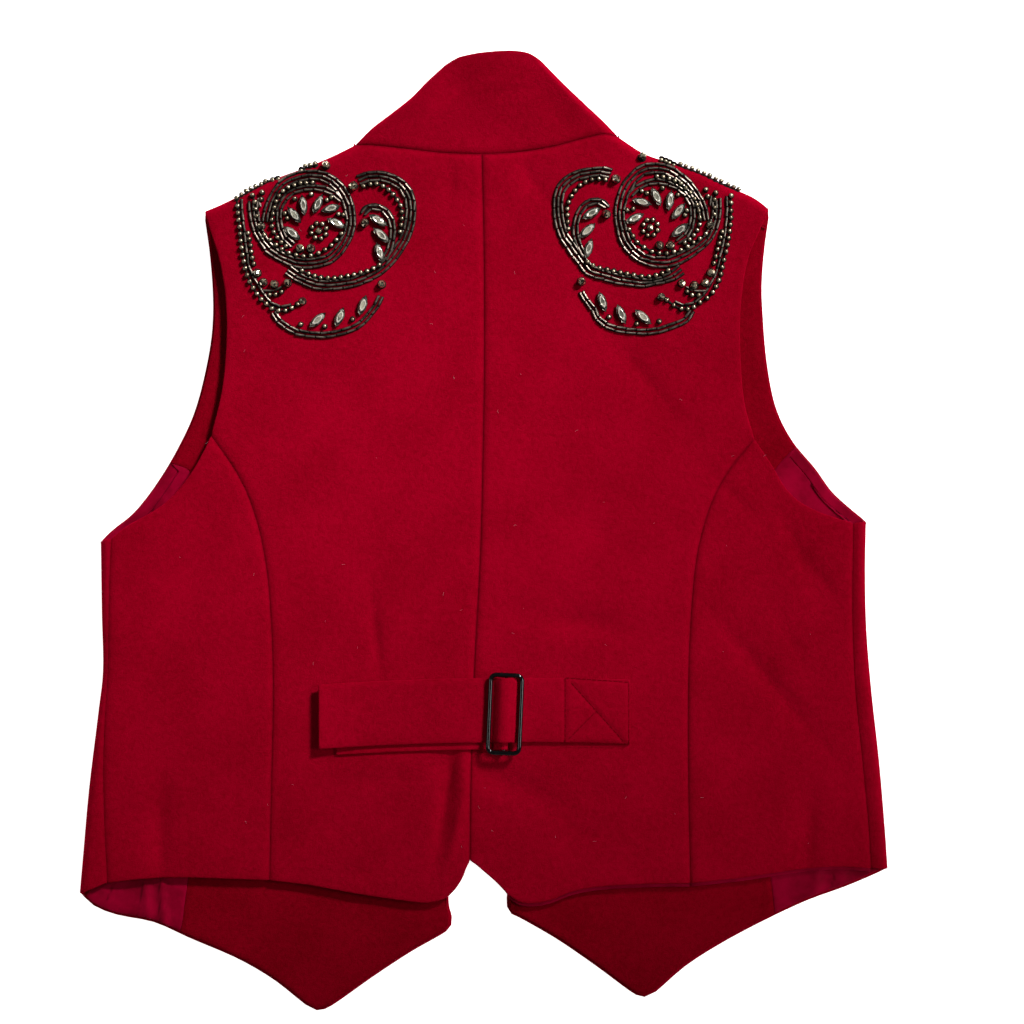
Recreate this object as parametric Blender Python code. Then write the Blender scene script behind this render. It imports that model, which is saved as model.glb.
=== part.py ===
"""Red wool waistcoat with beaded shoulders, laid out flat with its back upwards.

The two fronts lie face down on the floor. They wrap round a soft fold at each side, up to the side
seams, and meet the backs at the shoulders. The backs lie on them, with a half belt and a slider, and
the stand collar is a flattened tube. Every cloth is a wall of its own, and the walls are a seam gap
apart. Tables are in millimetres, +X to the right, +Y towards the collar, +Z up; meshes are in metres.
"""

import math

import bmesh
import bpy
import numpy as np

MM = 0.001

# Cloth, in millimetres.
WOOL = 1.8
COLLAR_WALL = 2.6  # wool on both faces of a stiff interlining
FACING = 1.2
LINING = 1.0
STRAP = 1.8
LOOP_STRAP = 1.2
SEAM_GAP = 0.3

# How high the empty garment lies, in millimetres.
LIE = 8.8  # top of the backs
NECK_RISE = 2.4  # more than that at the collar seam
COLLAR_RISE = 5.6  # and more again at the collar's top edge
FOLD_MIDDLE = 0.475  # height of a fold's outermost line, as a share of the height there
FOLD_REACH = 0.6  # how far in from that line the fold is flat again, as a share of that height
LEAST_LIE = 7.0  # the layers pressed together
LEAST_LIE_HOLD = 4.0  # how firmly that least height holds
NECK_FROM_Y = 165  # where the cloth starts to rise
NECK_SEAM_Y = 226
COLLAR_TOP_Y = 284
NECK_HALF_WIDTH = 78

# Belt and slider, in millimetres.
BELT_Y = -108.2
LOOP_STRAP_Y = -111.8
BELT_ARCH = 2.6  # how much lower the belt is one arch span from its highest place
BELT_ARCH_SPAN = 95.0
BELT_HIGH_X = 20.0
SLIDER_X = 12.9
SLIDER_Y = -110.4
SLIDER_WIDTH = 21.6
SLIDER_HEIGHT = 49.5
SLIDER_LEAN = math.radians(2.4)
SLIDER_CORNER = 3.4
SLIDER_WIRE = 2.8
BAR_WIRE = 1.8
BAR_CLEAR = 2.6  # the bar is straight this far past the strap's edges
BAR_CRANK = ((-0.6, 0.0), (1.2, 0.7))  # past that place, and share of the way up to the frame
WIRE_SIDES = 10
LEAN_FADES = 30.0  # the straps lean with the slider only this near it

# Leaf-shaped stones, in millimetres.
STONE_LENGTH = 10.5
STONE_WIDTH = 5.2
STONE_HEIGHT = 2.6
STONE_GIRDLE = 0.9
STONE_SIDES = 8
STONE_POINTED = 0.35
BAND_CLEAR = 0.5  # thread under the beads
CUP_CLEAR = 0.7  # thread and cup under a stone

# Outlines seen from above. Each runs upwards, or from the side towards the centre.
CENTRE_BACK = [
    (-8.2, -198.3), (-7.9, -168), (-7.0, -128), (-5.2, -76), (-2.0, -15), (-0.4, 50), (0.4, 105),
    (0.2, 165), (-1, 225),
]
COLLAR_TOP = [
    (-24, 277.6), (-16, 281.5), (-4, 284.4), (8, 285.7), (17, 286), (25, 285), (31, 282.8),
    (36.4, 279.2),
]
LEFT = {
    "sign": -1,
    "side_fold": [
        (-242.6, -218), (-240.6, -195), (-237, -155), (-231.5, -110), (-228.7, -84), (-229.4, -50),
        (-230, -7.4),
    ],
    "side_seam": [
        (-225.7, -211.5), (-227.6, -172), (-228, -133), (-225.4, -80), (-224.8, -40), (-223.5, -6),
    ],
    "princess": [
        (-128.4, -210), (-127.3, -150), (-126.3, -102), (-127.2, -60), (-130.4, -22), (-137, 8),
        (-147, 32), (-163, 55.8),
    ],
    "armhole_side": [
        (-223.5, -6), (-213, 2), (-201, 8.6), (-190, 16), (-180, 26.6), (-171, 40), (-163, 55.8),
    ],
    "armhole_back": [
        (-163, 55.8), (-156.3, 84), (-153.6, 114), (-154.2, 140), (-158.6, 165), (-167, 191.2),
    ],
    "armhole_front": [
        (-230, -7.4), (-222, 0), (-210, 9.8), (-197.4, 25.6), (-184.8, 46), (-173.8, 69.4),
        (-166.6, 96), (-162.6, 122), (-162.8, 150), (-167, 191.2),
    ],
    "shoulder": [
        (-167, 191.2), (-158, 195), (-145, 201.2), (-126, 210.4), (-108, 217), (-92, 223.6),
        (-76.8, 231),
    ],
    "neck": [(-76.8, 231), (-64, 230.2), (-46, 228.2), (-24, 225.8), (-1, 225)],
    "hem_side": [(-225.7, -211.5), (-206, -209.2), (-180, -208.3), (-155, -209), (-128.4, -210)],
    "hem_back": [
        (-128.4, -210), (-104, -213), (-76, -218), (-50, -221.9), (-33, -223.3), (-22.1, -220.4),
    ],
    "notch": [(-22.1, -220.4), (-17, -215), (-13, -208.6), (-10.6, -202.4), (-8.2, -198.3)],
    "hem_front": [
        (-242.6, -218), (-234, -226), (-220, -231.4), (-198, -235.8), (-176, -245.6), (-148, -257.6),
        (-126, -270.4), (-107, -285.4),
    ],
    "hem_tip": [
        (-107, -285.4), (-100.4, -288.8), (-92, -286.2), (-66, -268), (-44, -253.6), (-26, -243.4),
        (-20.4, -239), (-19.6, -233),
    ],
    "front_edge": [
        (-19.6, -233), (-21.6, -219), (-18.5, -170), (-12, -80), (-8.5, 20), (-6.8, 110), (-6.5, 163),
    ],
    "front_neck": [(-76.8, 231), (-74.5, 211), (-62, 187), (-42, 171), (-23, 164.6), (-6.5, 163)],
    "collar_fold": [
        (-76.8, 231), (-67, 240.7), (-55, 249.8), (-43.4, 259), (-33.6, 268.9), (-24, 277.6),
    ],
    "collar_front_top": [(-24, 277.6), (-23, 262), (-17, 242), (-6.5, 226)],
    "facing_edge": [
        (-181.5, -241), (-176.6, -205), (-168, -140), (-164, -50), (-166, 10), (-175, 33.6),
        (-188, 40.5),
    ],
}
RIGHT = {
    "sign": 1,
    "side_fold": [
        (242.8, -203.2), (241.2, -180), (237.8, -140), (233.2, -98), (230.2, -62), (229.3, -28),
        (229.8, 4.4),
    ],
    "side_seam": [
        (232.6, -202.6), (230.6, -172), (226.8, -133), (223, -94), (221.4, -50), (221.9, 3.2),
    ],
    "princess": [
        (124.2, -211.8), (123, -158), (122.7, -108), (123.8, -64), (127.4, -20), (134.6, 10),
        (145.6, 33), (162, 54),
    ],
    "armhole_side": [
        (221.9, 3.2), (209.2, 7.2), (198, 11.4), (188, 17.2), (180, 25.6), (172.6, 38), (162, 54),
    ],
    "armhole_back": [(162, 54), (156, 76), (153.6, 104), (153.8, 134), (158.6, 164), (171, 192.8)],
    "armhole_front": [
        (229.8, 4.4), (220.4, 12), (209, 22.6), (199, 36.4), (185, 53.4), (175.4, 73), (170.2, 98),
        (167.6, 126), (167, 152), (171, 192.8),
    ],
    "shoulder": [
        (171, 192.8), (162, 199.4), (148, 205.6), (130, 214.4), (112, 220.4), (96, 226), (80.4, 236),
    ],
    "neck": [(80.4, 236), (72, 237), (58, 233.9), (40, 229.2), (20, 226.2), (-1, 225)],
    "hem_side": [(232.6, -202.6), (210, -201.7), (186, -203.8), (155, -208.4), (124.2, -211.8)],
    "hem_back": [
        (124.2, -211.8), (98, -212.2), (72, -213.6), (54, -216.6), (38, -222.4), (24, -223.4),
        (15, -218.5),
    ],
    "notch": [(15, -218.5), (7.5, -210.8), (0.6, -204.8), (-4.6, -200.4), (-8.2, -198.3)],
    "hem_front": [
        (242.8, -203.2), (232, -208.2), (216, -214.8), (195, -222.4), (172, -233), (146, -246.6),
        (122, -261.6), (103, -278),
    ],
    "hem_tip": [
        (103, -278), (96.6, -280.8), (90, -278.4), (68, -262.2), (45, -246.4), (24, -234.2),
        (15.6, -229.6), (14.4, -222),
    ],
    "front_edge": [(14.4, -222), (14.8, -210), (12, -170), (8, -80), (6, 20), (5.4, 110), (5.5, 163)],
    "front_neck": [(80.4, 236), (79, 214), (66, 189), (44, 172), (23, 164.8), (5.5, 163)],
    "collar_fold": [(80.4, 236), (72, 244.8), (60, 256), (49, 266.4), (41.8, 273.6), (36.4, 279.2)],
    "collar_front_top": [(36.4, 279.2), (33, 262), (22.5, 242), (5.5, 226)],
    "facing_edge": [
        (174.6, -229.5), (171.9, -205), (165, -140), (161, -50), (164, 12), (174.6, 35.4), (187, 49.6),
    ],
}
SIDES = {"left": LEFT, "right": RIGHT}

# Soft troughs and ridges of the laid-out backs and collar, in millimetres and degrees.
FOLD_COLUMNS = ("x", "y", "half_length", "half_width", "angle", "height")
FOLDS = [
    (-194, -178, 42, 8, 90, -1.3),  # trough up from the left hem
    (-210, -204, 18, 16, 0, 1.1),  # left hem lifted off the front
    (-184, -92, 30, 18, 60, -0.7),
    (-176, -34, 34, 10, 62, -0.8),
    (-137, 84, 34, 20, 80, -0.6),
    (-66, -62, 24, 6, 96, -0.7),
    (-62, -164, 46, 20, 10, -0.8),
    (-23, -168, 30, 6, 84, -1.2),  # beside the centre seam, under the belt
    (-14, -158, 26, 5, 86, 0.9),
    (50, -54, 40, 11, -6, -1.1),  # over the belt
    (60, 4, 30, 10, -32, -0.7),
    (97, 88, 46, 11, -55, -0.9),  # down from the right beadwork
    (52, -188, 30, 9, 32, -1.2),
    (174, -94, 54, 11, -50, -1.2),  # across the right side back
    (193, -184, 30, 8, 88, -1.0),
    (195, -22, 32, 9, -62, -1.1),  # under the right armhole
    (30, 212, 20, 10, -60, -0.8),
    (-22, 209, 14, 5, 88, -0.5),
    (-15, 269, 16, 9, 50, -1.4),  # collar
    (44, 252, 18, 9, -48, -0.7),
]

# Beadwork of the left shoulder, from the middle of its roundel; the right one is its mirror image.
BEADS_AT = {"left": (-103.6, 184.6), "right": (104.2, 186.4)}
BEAD_ROW = 2.5  # one row of tube beads beside the next
BEAD_HEIGHT = 1.8
BEAD_BASE = 0.5  # the threads and backing under the beads
ROUNDEL_RADIUS = 27.6
ROUNDEL_SWING = 5.5  # how much further out its first end starts
ROUNDEL_SETTLES = 55.0  # degrees over which it comes in to the radius
ROUNDEL_START = 160
ROUNDEL_TURN = 332
ROUNDEL_STEPS = 24
BAND_COLUMNS = ("name", "rows", "spine")
BANDS = [
    (
        "inner_arc", 2,
        [
            (-7.5, -16.2), (-14.8, -8.6), (-17.6, 1.5), (-14.2, 11.2), (-6.5, 16.8), (1, 18.4),
            (8, 18.9), (12, 17.4),
        ],
    ),
    (
        "scroll", 3,
        [
            (32, 22.5), (43.5, 24.4), (55.5, 16.5), (60.3, 1), (56.6, -14.5), (45, -28.5), (31, -37),
            (14, -40.4), (-1, -37.8),
        ],
    ),
    ("hook", 2, [(34.6, 4.6), (40.4, 7), (47, 2), (49.4, -5), (48.6, -12.5)]),
    (
        "crescent", 2,
        [
            (43.4, -46), (38.6, -55), (29.5, -62.7), (17, -68), (2, -69), (-10.5, -66.6), (-17.5, -62),
        ],
    ),
    (
        "armhole_line", 3,
        [(-41.8, 6), (-39.8, -6), (-38, -19), (-34, -33), (-27, -45), (-17, -52.6), (-5, -50.5)],
    ),
]
STONE_RINGS = ((0.8, 0.0), (1.0, STONE_GIRDLE), (0.45, STONE_HEIGHT))  # (share of the outline, height)
STONE_COLUMNS = ("x", "y", "angle")
STONE_RING = 11.6
STONE_TURNS = (-8, 32, 72, 112, 152, 212)
STONE_RING_MIDDLE = (3.5, -1)
ROUNDEL_STONES = [
    (
        STONE_RING_MIDDLE[0] + STONE_RING * math.cos(math.radians(turn)),
        STONE_RING_MIDDLE[1] + STONE_RING * math.sin(math.radians(turn)),
        turn,
    )
    for turn in STONE_TURNS
]
STONES = [
    *ROUNDEL_STONES,
    (41.2, -0.6, -30),
    (42.0, -9.6, -52),
    (41.6, -20.8, -74),
    (33.4, -51.6, 78),
    (19.0, -58.4, 66),
    (4.6, -60.0, 42),
]

WOOL_RED = (0.33, 0.001, 0.012, 1)
SATIN_RED = (0.38, 0.002, 0.04, 1)
BLACK = (0.01, 0.01, 0.012, 1)
BEAD_METAL = (0.09, 0.07, 0.06, 1)
STONE_GREY = (0.55, 0.53, 0.48, 1)


def clear_scene():
    for obj in list(bpy.data.objects):
        bpy.data.objects.remove(obj)


def material(name, colour, roughness, metallic=0.0):
    made = bpy.data.materials.get(name)
    if made is None:
        made = bpy.data.materials.new(name)
        made.use_nodes = True
        shader = made.node_tree.nodes["Principled BSDF"]
        shader.inputs["Base Color"].default_value = colour
        shader.inputs["Roughness"].default_value = roughness
        shader.inputs["Metallic"].default_value = metallic
    return made


# ---------------------------------------------------------------- lines

CURVE_STEPS = 12  # from each point of a smooth curve to the next
DENSE = 600  # steps of a curve that a place is looked up on


def along(line, count):
    """count + 1 points at equal steps along a line."""
    steps = np.concatenate([[0], np.cumsum(np.linalg.norm(np.diff(line, axis=0), axis=1))])
    places = np.linspace(0, steps[-1], count + 1)
    return np.stack([np.interp(places, steps, line[:, k]) for k in range(line.shape[1])], axis=1)


def through(points, count):
    """A smooth curve through the points, as count + 1 points at equal steps (Catmull-Rom)."""
    points = np.asarray(points, float)
    padded = np.vstack([2 * points[0] - points[1], points, 2 * points[-1] - points[-2]])
    t = np.linspace(0, 1, CURVE_STEPS, endpoint=False)[:, None]
    spans = []
    for before, start, end, after in zip(padded, padded[1:], padded[2:], padded[3:]):
        spans.append(
            0.5
            * (
                2 * start
                + (end - before) * t
                + (2 * before - 5 * start + 4 * end - after) * t**2
                + (3 * start - before - 3 * end + after) * t**3
            )
        )
    return along(np.vstack([*spans, points[-1:]]), count)


def joined(*lines):
    """Lines end to end, with each shared point once."""
    return np.vstack([lines[0], *[line[1:] for line in lines[1:]]])


def inset(line, amount, inwards):
    """The line moved sideways by amount towards the point inwards."""
    step = np.gradient(line, axis=0)
    normal = np.stack([-step[:, 1], step[:, 0]], axis=1)
    normal /= np.linalg.norm(normal, axis=1)[:, None]
    facing = np.sign(((np.asarray(inwards) - line) * normal).sum(1))
    return line + amount * facing[:, None] * normal


def distance_to(x, y, line):
    """How far each place is from a polyline."""
    place = np.stack([x, y], axis=-1)[..., None, :]
    start, step = line[:-1], np.diff(line, axis=0)
    share = np.clip(((place - start) * step).sum(-1) / (step**2).sum(-1), 0, 1)
    return np.linalg.norm(place - start - share[..., None] * step, axis=-1).min(-1)


# ---------------------------------------------------------------- how the garment lies

SIDE_FOLD_STEPS = 24
TOP_FOLD_STEPS = 30
FOLD_LINES = [through(side["side_fold"], SIDE_FOLD_STEPS) for side in SIDES.values()]
FOLD_LINES += [
    through(side["shoulder"] + side["collar_fold"][1:], TOP_FOLD_STEPS) for side in SIDES.values()
]


def smooth_step(value, low, high):
    share = np.clip((value - low) / (high - low), 0, 1)
    return share * share * (3 - 2 * share)


def lie(x, y):
    """Height of the upper cloth's outer face away from the folds at the sides and shoulders."""
    middle = np.exp(-((x / NECK_HALF_WIDTH) ** 4))
    height = LIE + NECK_RISE * smooth_step(y, NECK_FROM_Y, NECK_SEAM_Y) * middle
    height = height + COLLAR_RISE * smooth_step(y, NECK_SEAM_Y, COLLAR_TOP_Y)
    for row in FOLDS:
        fold = dict(zip(FOLD_COLUMNS, row))
        turn = math.radians(fold["angle"])
        right, up = x - fold["x"], y - fold["y"]
        far_along = (right * math.cos(turn) + up * math.sin(turn)) / fold["half_length"]
        far_across = (up * math.cos(turn) - right * math.sin(turn)) / fold["half_width"]
        height = height + fold["height"] * np.exp(-(far_along**2) - far_across**2)
    return LEAST_LIE + np.logaddexp(0, (height - LEAST_LIE) * LEAST_LIE_HOLD) / LEAST_LIE_HOLD


def rolled(x, y):
    """Share of its full height that the cloth has reached, in from the fold: a quarter of an ellipse."""
    near = np.min([distance_to(x, y, line) for line in FOLD_LINES], axis=0)
    share = np.clip(near / (FOLD_REACH * lie(x, y)), 0, 1)
    return np.sqrt(1 - (1 - share) ** 2)


def upper(plan):
    """The plan's points on the outer face of the upper cloth."""
    x, y = plan[..., 0], plan[..., 1]
    height = lie(x, y)
    middle = FOLD_MIDDLE * height
    return np.dstack([x, y, middle + (height - middle) * rolled(x, y)]).reshape(*x.shape, 3)


def lower(plan):
    """The plan's points on the outer face of the lower cloth, which is flat on the floor."""
    x, y = plan[..., 0], plan[..., 1]
    return np.dstack([x, y, FOLD_MIDDLE * lie(x, y) * (1 - rolled(x, y))]).reshape(*x.shape, 3)


# ---------------------------------------------------------------- walls

SLOPE_STEP = 0.25


def patch(bottom, top, start, end):
    """A grid of plan points between four edges (Coons): rows go up, columns from start to end."""
    across = np.linspace(0, 1, len(bottom))[None, :, None]
    up = np.linspace(0, 1, len(start))[:, None, None]
    ruled = (1 - up) * bottom[None] + up * top[None]
    ruled = ruled + (1 - across) * start[:, None] + across * end[:, None]
    corners = (
        (1 - up) * ((1 - across) * bottom[0] + across * bottom[-1])
        + up * ((1 - across) * top[0] + across * top[-1])
    )
    return ruled - corners


def grid_faces(index):
    """The four-sided faces of a grid of point numbers."""
    corners = [index[:-1, :-1], index[:-1, 1:], index[1:, 1:], index[1:, :-1]]
    return np.stack(corners, axis=-1).reshape(-1, 4)


def turned(faces):
    """The same faces the other way round, cut along the same diagonals."""
    return faces[:, [0, 3, 2, 1]]


def point_normals(points, faces):
    corners = points[faces]
    face_normal = np.cross(corners[:, 2] - corners[:, 0], corners[:, 3] - corners[:, 1])
    summed = np.zeros_like(points)
    for corner in range(4):
        np.add.at(summed, faces[:, corner], face_normal)
    return summed / np.linalg.norm(summed, axis=1)[:, None]


def rim_of(faces):
    """The edges that only one face uses, each in that face's direction."""
    edges = np.vstack([faces[:, [k, (k + 1) % 4]] for k in range(4)])
    key = np.sort(edges, axis=1)
    _, where, uses = np.unique(key, axis=0, return_inverse=True, return_counts=True)
    return edges[uses[where.reshape(-1)] == 1]


def mesh_object(name, points, faces, finish, sharp_angle=50):
    mesh = bpy.data.meshes.new(name)
    mesh.from_pydata((np.asarray(points) * MM).tolist(), [], [list(map(int, face)) for face in faces])
    mesh.materials.append(finish)
    mesh.shade_smooth()
    mesh.set_sharp_from_angle(angle=math.radians(sharp_angle))
    obj = bpy.data.objects.new(name, mesh)
    bpy.context.scene.collection.objects.link(obj)
    return obj


def upper_normals(plan):
    """Which way the upper cloth faces at the plan's points, from the slope of its height."""
    slopes = []
    for move in ((SLOPE_STEP, 0), (0, SLOPE_STEP)):
        rise = upper(plan[None] + move)[0, :, 2] - upper(plan[None] - move)[0, :, 2]
        slopes.append(rise / (2 * SLOPE_STEP))
    facing = np.stack([-slopes[0], -slopes[1], np.ones(len(plan))], axis=1)
    return facing / np.linalg.norm(facing, axis=1)[:, None]


def wall(name, points, faces, thickness, finish, under=0.0, seam_on_fold=(), normals=None):
    """A closed wall of cloth whose outer face is the points moved in by under. The points of
    seam_on_fold lie on the outermost line of a fold, where the cloth stands upright."""
    if normals is None:
        normals = point_normals(points, faces)
    normals[list(seam_on_fold), 2] = 0
    normals /= np.linalg.norm(normals, axis=1)[:, None]
    outer = points - under * normals
    inner = points - (under + thickness) * normals
    rim = rim_of(faces)
    count = len(points)
    sides = np.stack([rim[:, 1], rim[:, 0], rim[:, 0] + count, rim[:, 1] + count], axis=1)
    return mesh_object(
        name, np.vstack([outer, inner]), np.vstack([faces, turned(faces) + count, sides]), finish
    )


def facing_way(faces, flipped):
    return turned(faces) if flipped else faces


# ---------------------------------------------------------------- backs

SHOULDER_COLUMNS = 6
PRINCESS_ROWS, ARMHOLE_ROWS = 12, 6
NOTCH_ROWS = 3
ROLL_ANGLES = np.radians([60, 30, 0])  # rows over a fold, down to its outermost line
NECK_COLUMNS = 4
HALF_GAP = SEAM_GAP / 2
MIDDLES = {  # a place inside each piece; the left one has a negative x
    "back": (70, 0), "side_back": (175, -100), "front": (110, -60), "facing": (90, -60),
    "front_lining": (205, -90),
}


def middle_of(piece, side):
    x, y = MIDDLES[piece]
    return side["sign"] * x, y


def fold_reach(place):
    """How far in from a fold the cloth is flat again."""
    return FOLD_REACH * float(lie(place[0], place[1]))


def from_fold(curve, fold, count):
    """A seam that starts on a fold: points round the fold, then count more at equal steps."""
    dense = through(curve, DENSE)
    far = distance_to(dense[:, 0], dense[:, 1], fold)
    reach = fold_reach(dense[0])
    angles = (*ROLL_ANGLES[:-1][::-1], math.pi / 2)
    picks = [int(np.argmax(far >= reach * (1 - math.cos(angle)))) for angle in angles]
    return np.vstack([dense[0], dense[picks[:-1]], along(dense[picks[-1] :], count)])


def neck_seam(side, edge):
    """The collar seam from the shoulder to the centre, at the back or the front."""
    return from_fold(side[edge], through(side["collar_fold"], TOP_FOLD_STEPS), NECK_COLUMNS)


def with_rolled_rows(flat, edge):
    """The grid with more rows, at even angles round the fold, from its last row out to the edge."""
    rows = [flat[-1] + (edge - flat[-1]) * math.cos(angle) for angle in ROLL_ANGLES]
    return np.concatenate([flat, np.stack(rows)])


def back(side_name):
    side = SIDES[side_name]
    middle = middle_of("back", side)
    outer_edge = joined(
        inset(through(side["princess"], PRINCESS_ROWS), HALF_GAP, middle),
        through(side["armhole_back"], ARMHOLE_ROWS),
    )
    total_rows = PRINCESS_ROWS + ARMHOLE_ROWS
    seam = inset(through(CENTRE_BACK, total_rows - NOTCH_ROWS), HALF_GAP, middle)
    centre = np.vstack([through(side["notch"], NOTCH_ROWS)[:-1], seam])
    shoulder = through(side["shoulder"], SHOULDER_COLUMNS)
    top = joined(shoulder, inset(neck_seam(side, "neck"), HALF_GAP, middle))
    bottom = through(side["hem_back"], len(top) - 1)
    bottom[0] = outer_edge[0]
    top[-1] = centre[-1]
    reach = FOLD_REACH * LIE
    flat_top = inset(top, reach, middle)
    slope = outer_edge[-2] - outer_edge[-1]
    flat_top[0] = outer_edge[-1] + slope * reach / np.linalg.norm(slope)
    flat_top[-1] = centre[-1] - (0, reach)
    outer_edge[-1], centre[-1] = flat_top[0], flat_top[-1]
    plan = with_rolled_rows(patch(bottom, flat_top, outer_edge, centre), top)
    points = upper(plan)
    on_fold = slice(0, SHOULDER_COLUMNS + 1)
    points[-1, on_fold, 2] += HALF_GAP
    index = np.arange(plan.shape[0] * plan.shape[1]).reshape(plan.shape[:2])
    wall(
        "back_" + side_name,
        points.reshape(-1, 3),
        facing_way(grid_faces(index), side["sign"] > 0),
        WOOL,
        material("wool", WOOL_RED, 0.9),
        seam_on_fold=index[-1, on_fold],
    )
    lining_under("back_lining_" + side_name, plan, side_name, rows=-len(ROLL_ANGLES))


SIDE_BACK_COLUMNS = 7


def side_back(side_name):
    side = SIDES[side_name]
    middle = middle_of("side_back", side)
    seam = inset(through(side["side_seam"], PRINCESS_ROWS), HALF_GAP, middle)
    princess = inset(through(side["princess"], PRINCESS_ROWS), HALF_GAP, middle)
    bottom = through(side["hem_side"], SIDE_BACK_COLUMNS)
    top = through(side["armhole_side"], SIDE_BACK_COLUMNS)
    bottom[0], bottom[-1], top[0], top[-1] = seam[0], princess[0], seam[-1], princess[-1]
    plan = patch(bottom, top, seam, princess)
    sheet("side_back_" + side_name, plan, side, WOOL, material("wool", WOOL_RED, 0.9))
    lining_under("side_lining_" + side_name, plan, side_name)


SIDE_ROWS, ARM_ROWS = PRINCESS_ROWS, 6
FROM_FOLD = 12.0  # the inner layers stop this far from a fold
LINING_DROP = {"left": -1.2, "right": 2.2}  # how far the back lining shows below the hem
BAND_IN = 7.0  # the turned edge of the wool beside the front lining
HEM_IN = 1.5
EDGE_IN = 1.0
FACING_NECK_IN = 2.0
LINING_POINT = 0.6  # the lining's top corner is this share of its last row up


def between(points, start, end, count):
    """The part of the smooth curve from near one place to near another, as count + 1 points."""
    dense = through(points, DENSE)
    first, last = (np.argmin(np.linalg.norm(dense - place, axis=1)) for place in (start, end))
    return along(dense[min(first, last) : max(first, last) + 1], count)


def sheet(name, plan, side, thickness, finish, under=0.0, is_upper=True, rows=None):
    """One layer, from a plan grid whose rows go up and whose columns run from the side to the centre.
    Only the given number of rows is kept, and the whole plan says which way they face."""
    index = np.arange(plan.shape[0] * plan.shape[1]).reshape(plan.shape[:2])
    flipped = (side["sign"] > 0) == is_upper
    surface = upper if is_upper else lower
    points = surface(plan).reshape(-1, 3)
    normals = point_normals(points, facing_way(grid_faces(index), flipped))
    if is_upper:
        normals[index[:, 0]] = upper_normals(plan[:, 0])
    kept = index[:rows]
    faces = facing_way(grid_faces(kept), flipped)
    wall(name, points[: kept.size], faces, thickness, finish, under, normals=normals[: kept.size])


def lining_under(name, plan, side_name, rows=None):
    """Lining made from a back panel's own plan, with the hem drawn in or let down."""
    plan = plan.copy()
    plan[0, :, 1] -= LINING_DROP[side_name]
    satin = material("satin", SATIN_RED, 0.45)
    sheet(name, plan, SIDES[side_name], LINING, satin, WOOL + SEAM_GAP, rows=rows)


FACING_COLUMNS = 8
FRONT_LINING_COLUMNS = 5
QUARTERS = (0.25, 0.5, 0.75)


def front(side_name):
    """The wool of one front: flat on the floor, rolled up to the shoulder seam, and round the side."""
    side = SIDES[side_name]
    middle = middle_of("front", side)
    reach = FOLD_REACH * LIE
    fold = through(side["side_fold"], SIDE_ROWS)
    armhole_start = side["armhole_front"][0] + np.array([0, reach])
    armhole = between(side["armhole_front"], armhole_start, side["shoulder"][0], ARM_ROWS)
    flat_edge = inset(fold, reach, middle)
    flat_edge[-1] = armhole[0]
    hem_curve = side["hem_front"] + side["hem_tip"][1:]
    outer_hem = between(hem_curve, flat_edge[0], side["hem_tip"][1], SHOULDER_COLUMNS // 2)
    flat_edge[0] = outer_hem[0]
    armhole[-1] = armhole[-1] - (0, reach)
    outer = joined(flat_edge, armhole)
    shoulder = through(side["shoulder"], SHOULDER_COLUMNS)
    neck = inset(neck_seam(side, "front_neck"), HALF_GAP, middle)
    shoulder[-1] = neck[0]
    flat_neck = neck[len(ROLL_ANGLES) :]
    front_edge = through(side["front_edge"], len(outer) - len(flat_neck))
    front_edge[-1] = flat_neck[-1]
    centre = joined(front_edge, flat_neck[::-1])
    flat_top = inset(shoulder, reach, middle)
    flat_top[0], flat_top[-1] = outer[-1], centre[-1]
    bottom = joined(outer_hem, through(side["hem_tip"][1:], SHOULDER_COLUMNS - SHOULDER_COLUMNS // 2))
    plan = with_rolled_rows(patch(bottom, flat_top, outer, centre), shoulder)
    plan[-len(ROLL_ANGLES) :, -1] = neck[: len(ROLL_ANGLES)][::-1]
    points = lower(plan)
    on_shoulder = slice(0, SHOULDER_COLUMNS + 1)
    points[-1, on_shoulder, 2] -= HALF_GAP
    seam = inset(through(side["side_seam"], SIDE_ROWS), -HALF_GAP, middle)
    start = plan[: SIDE_ROWS + 1, 0]
    under_fold = np.stack([start + (fold - start) * math.cos(angle) for angle in ROLL_ANGLES], axis=1)
    across = seam - fold
    width = np.linalg.norm(across, axis=1)
    over_fold = []
    for angle, share in zip((*ROLL_ANGLES[1::-1], math.pi / 2), QUARTERS):
        step = np.minimum(reach * (1 - math.cos(angle)), width * share)
        over_fold.append(fold + across * (step / width)[:, None])
    wrap = np.concatenate([lower(under_fold), upper(np.stack([*over_fold, seam], axis=1))], axis=1)
    rows, columns = plan.shape[:2]
    index = np.arange(rows * columns).reshape(rows, columns)
    wrap_index = rows * columns + np.arange(wrap.shape[0] * wrap.shape[1]).reshape(wrap.shape[:2])
    side_index = np.concatenate([wrap_index[:, ::-1], index[: SIDE_ROWS + 1, :1]], axis=1)
    faces = facing_way(np.vstack([grid_faces(index), grid_faces(side_index)]), side["sign"] < 0)
    points = np.vstack([points.reshape(-1, 3), wrap.reshape(-1, 3)])
    normals = point_normals(points, faces)
    normals[wrap_index[:, -1]] = upper_normals(seam)
    wool = material("wool", WOOL_RED, 0.9)
    on_fold = index[-1, on_shoulder]
    wall("front_" + side_name, points, faces, WOOL, wool, seam_on_fold=on_fold, normals=normals)


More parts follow.
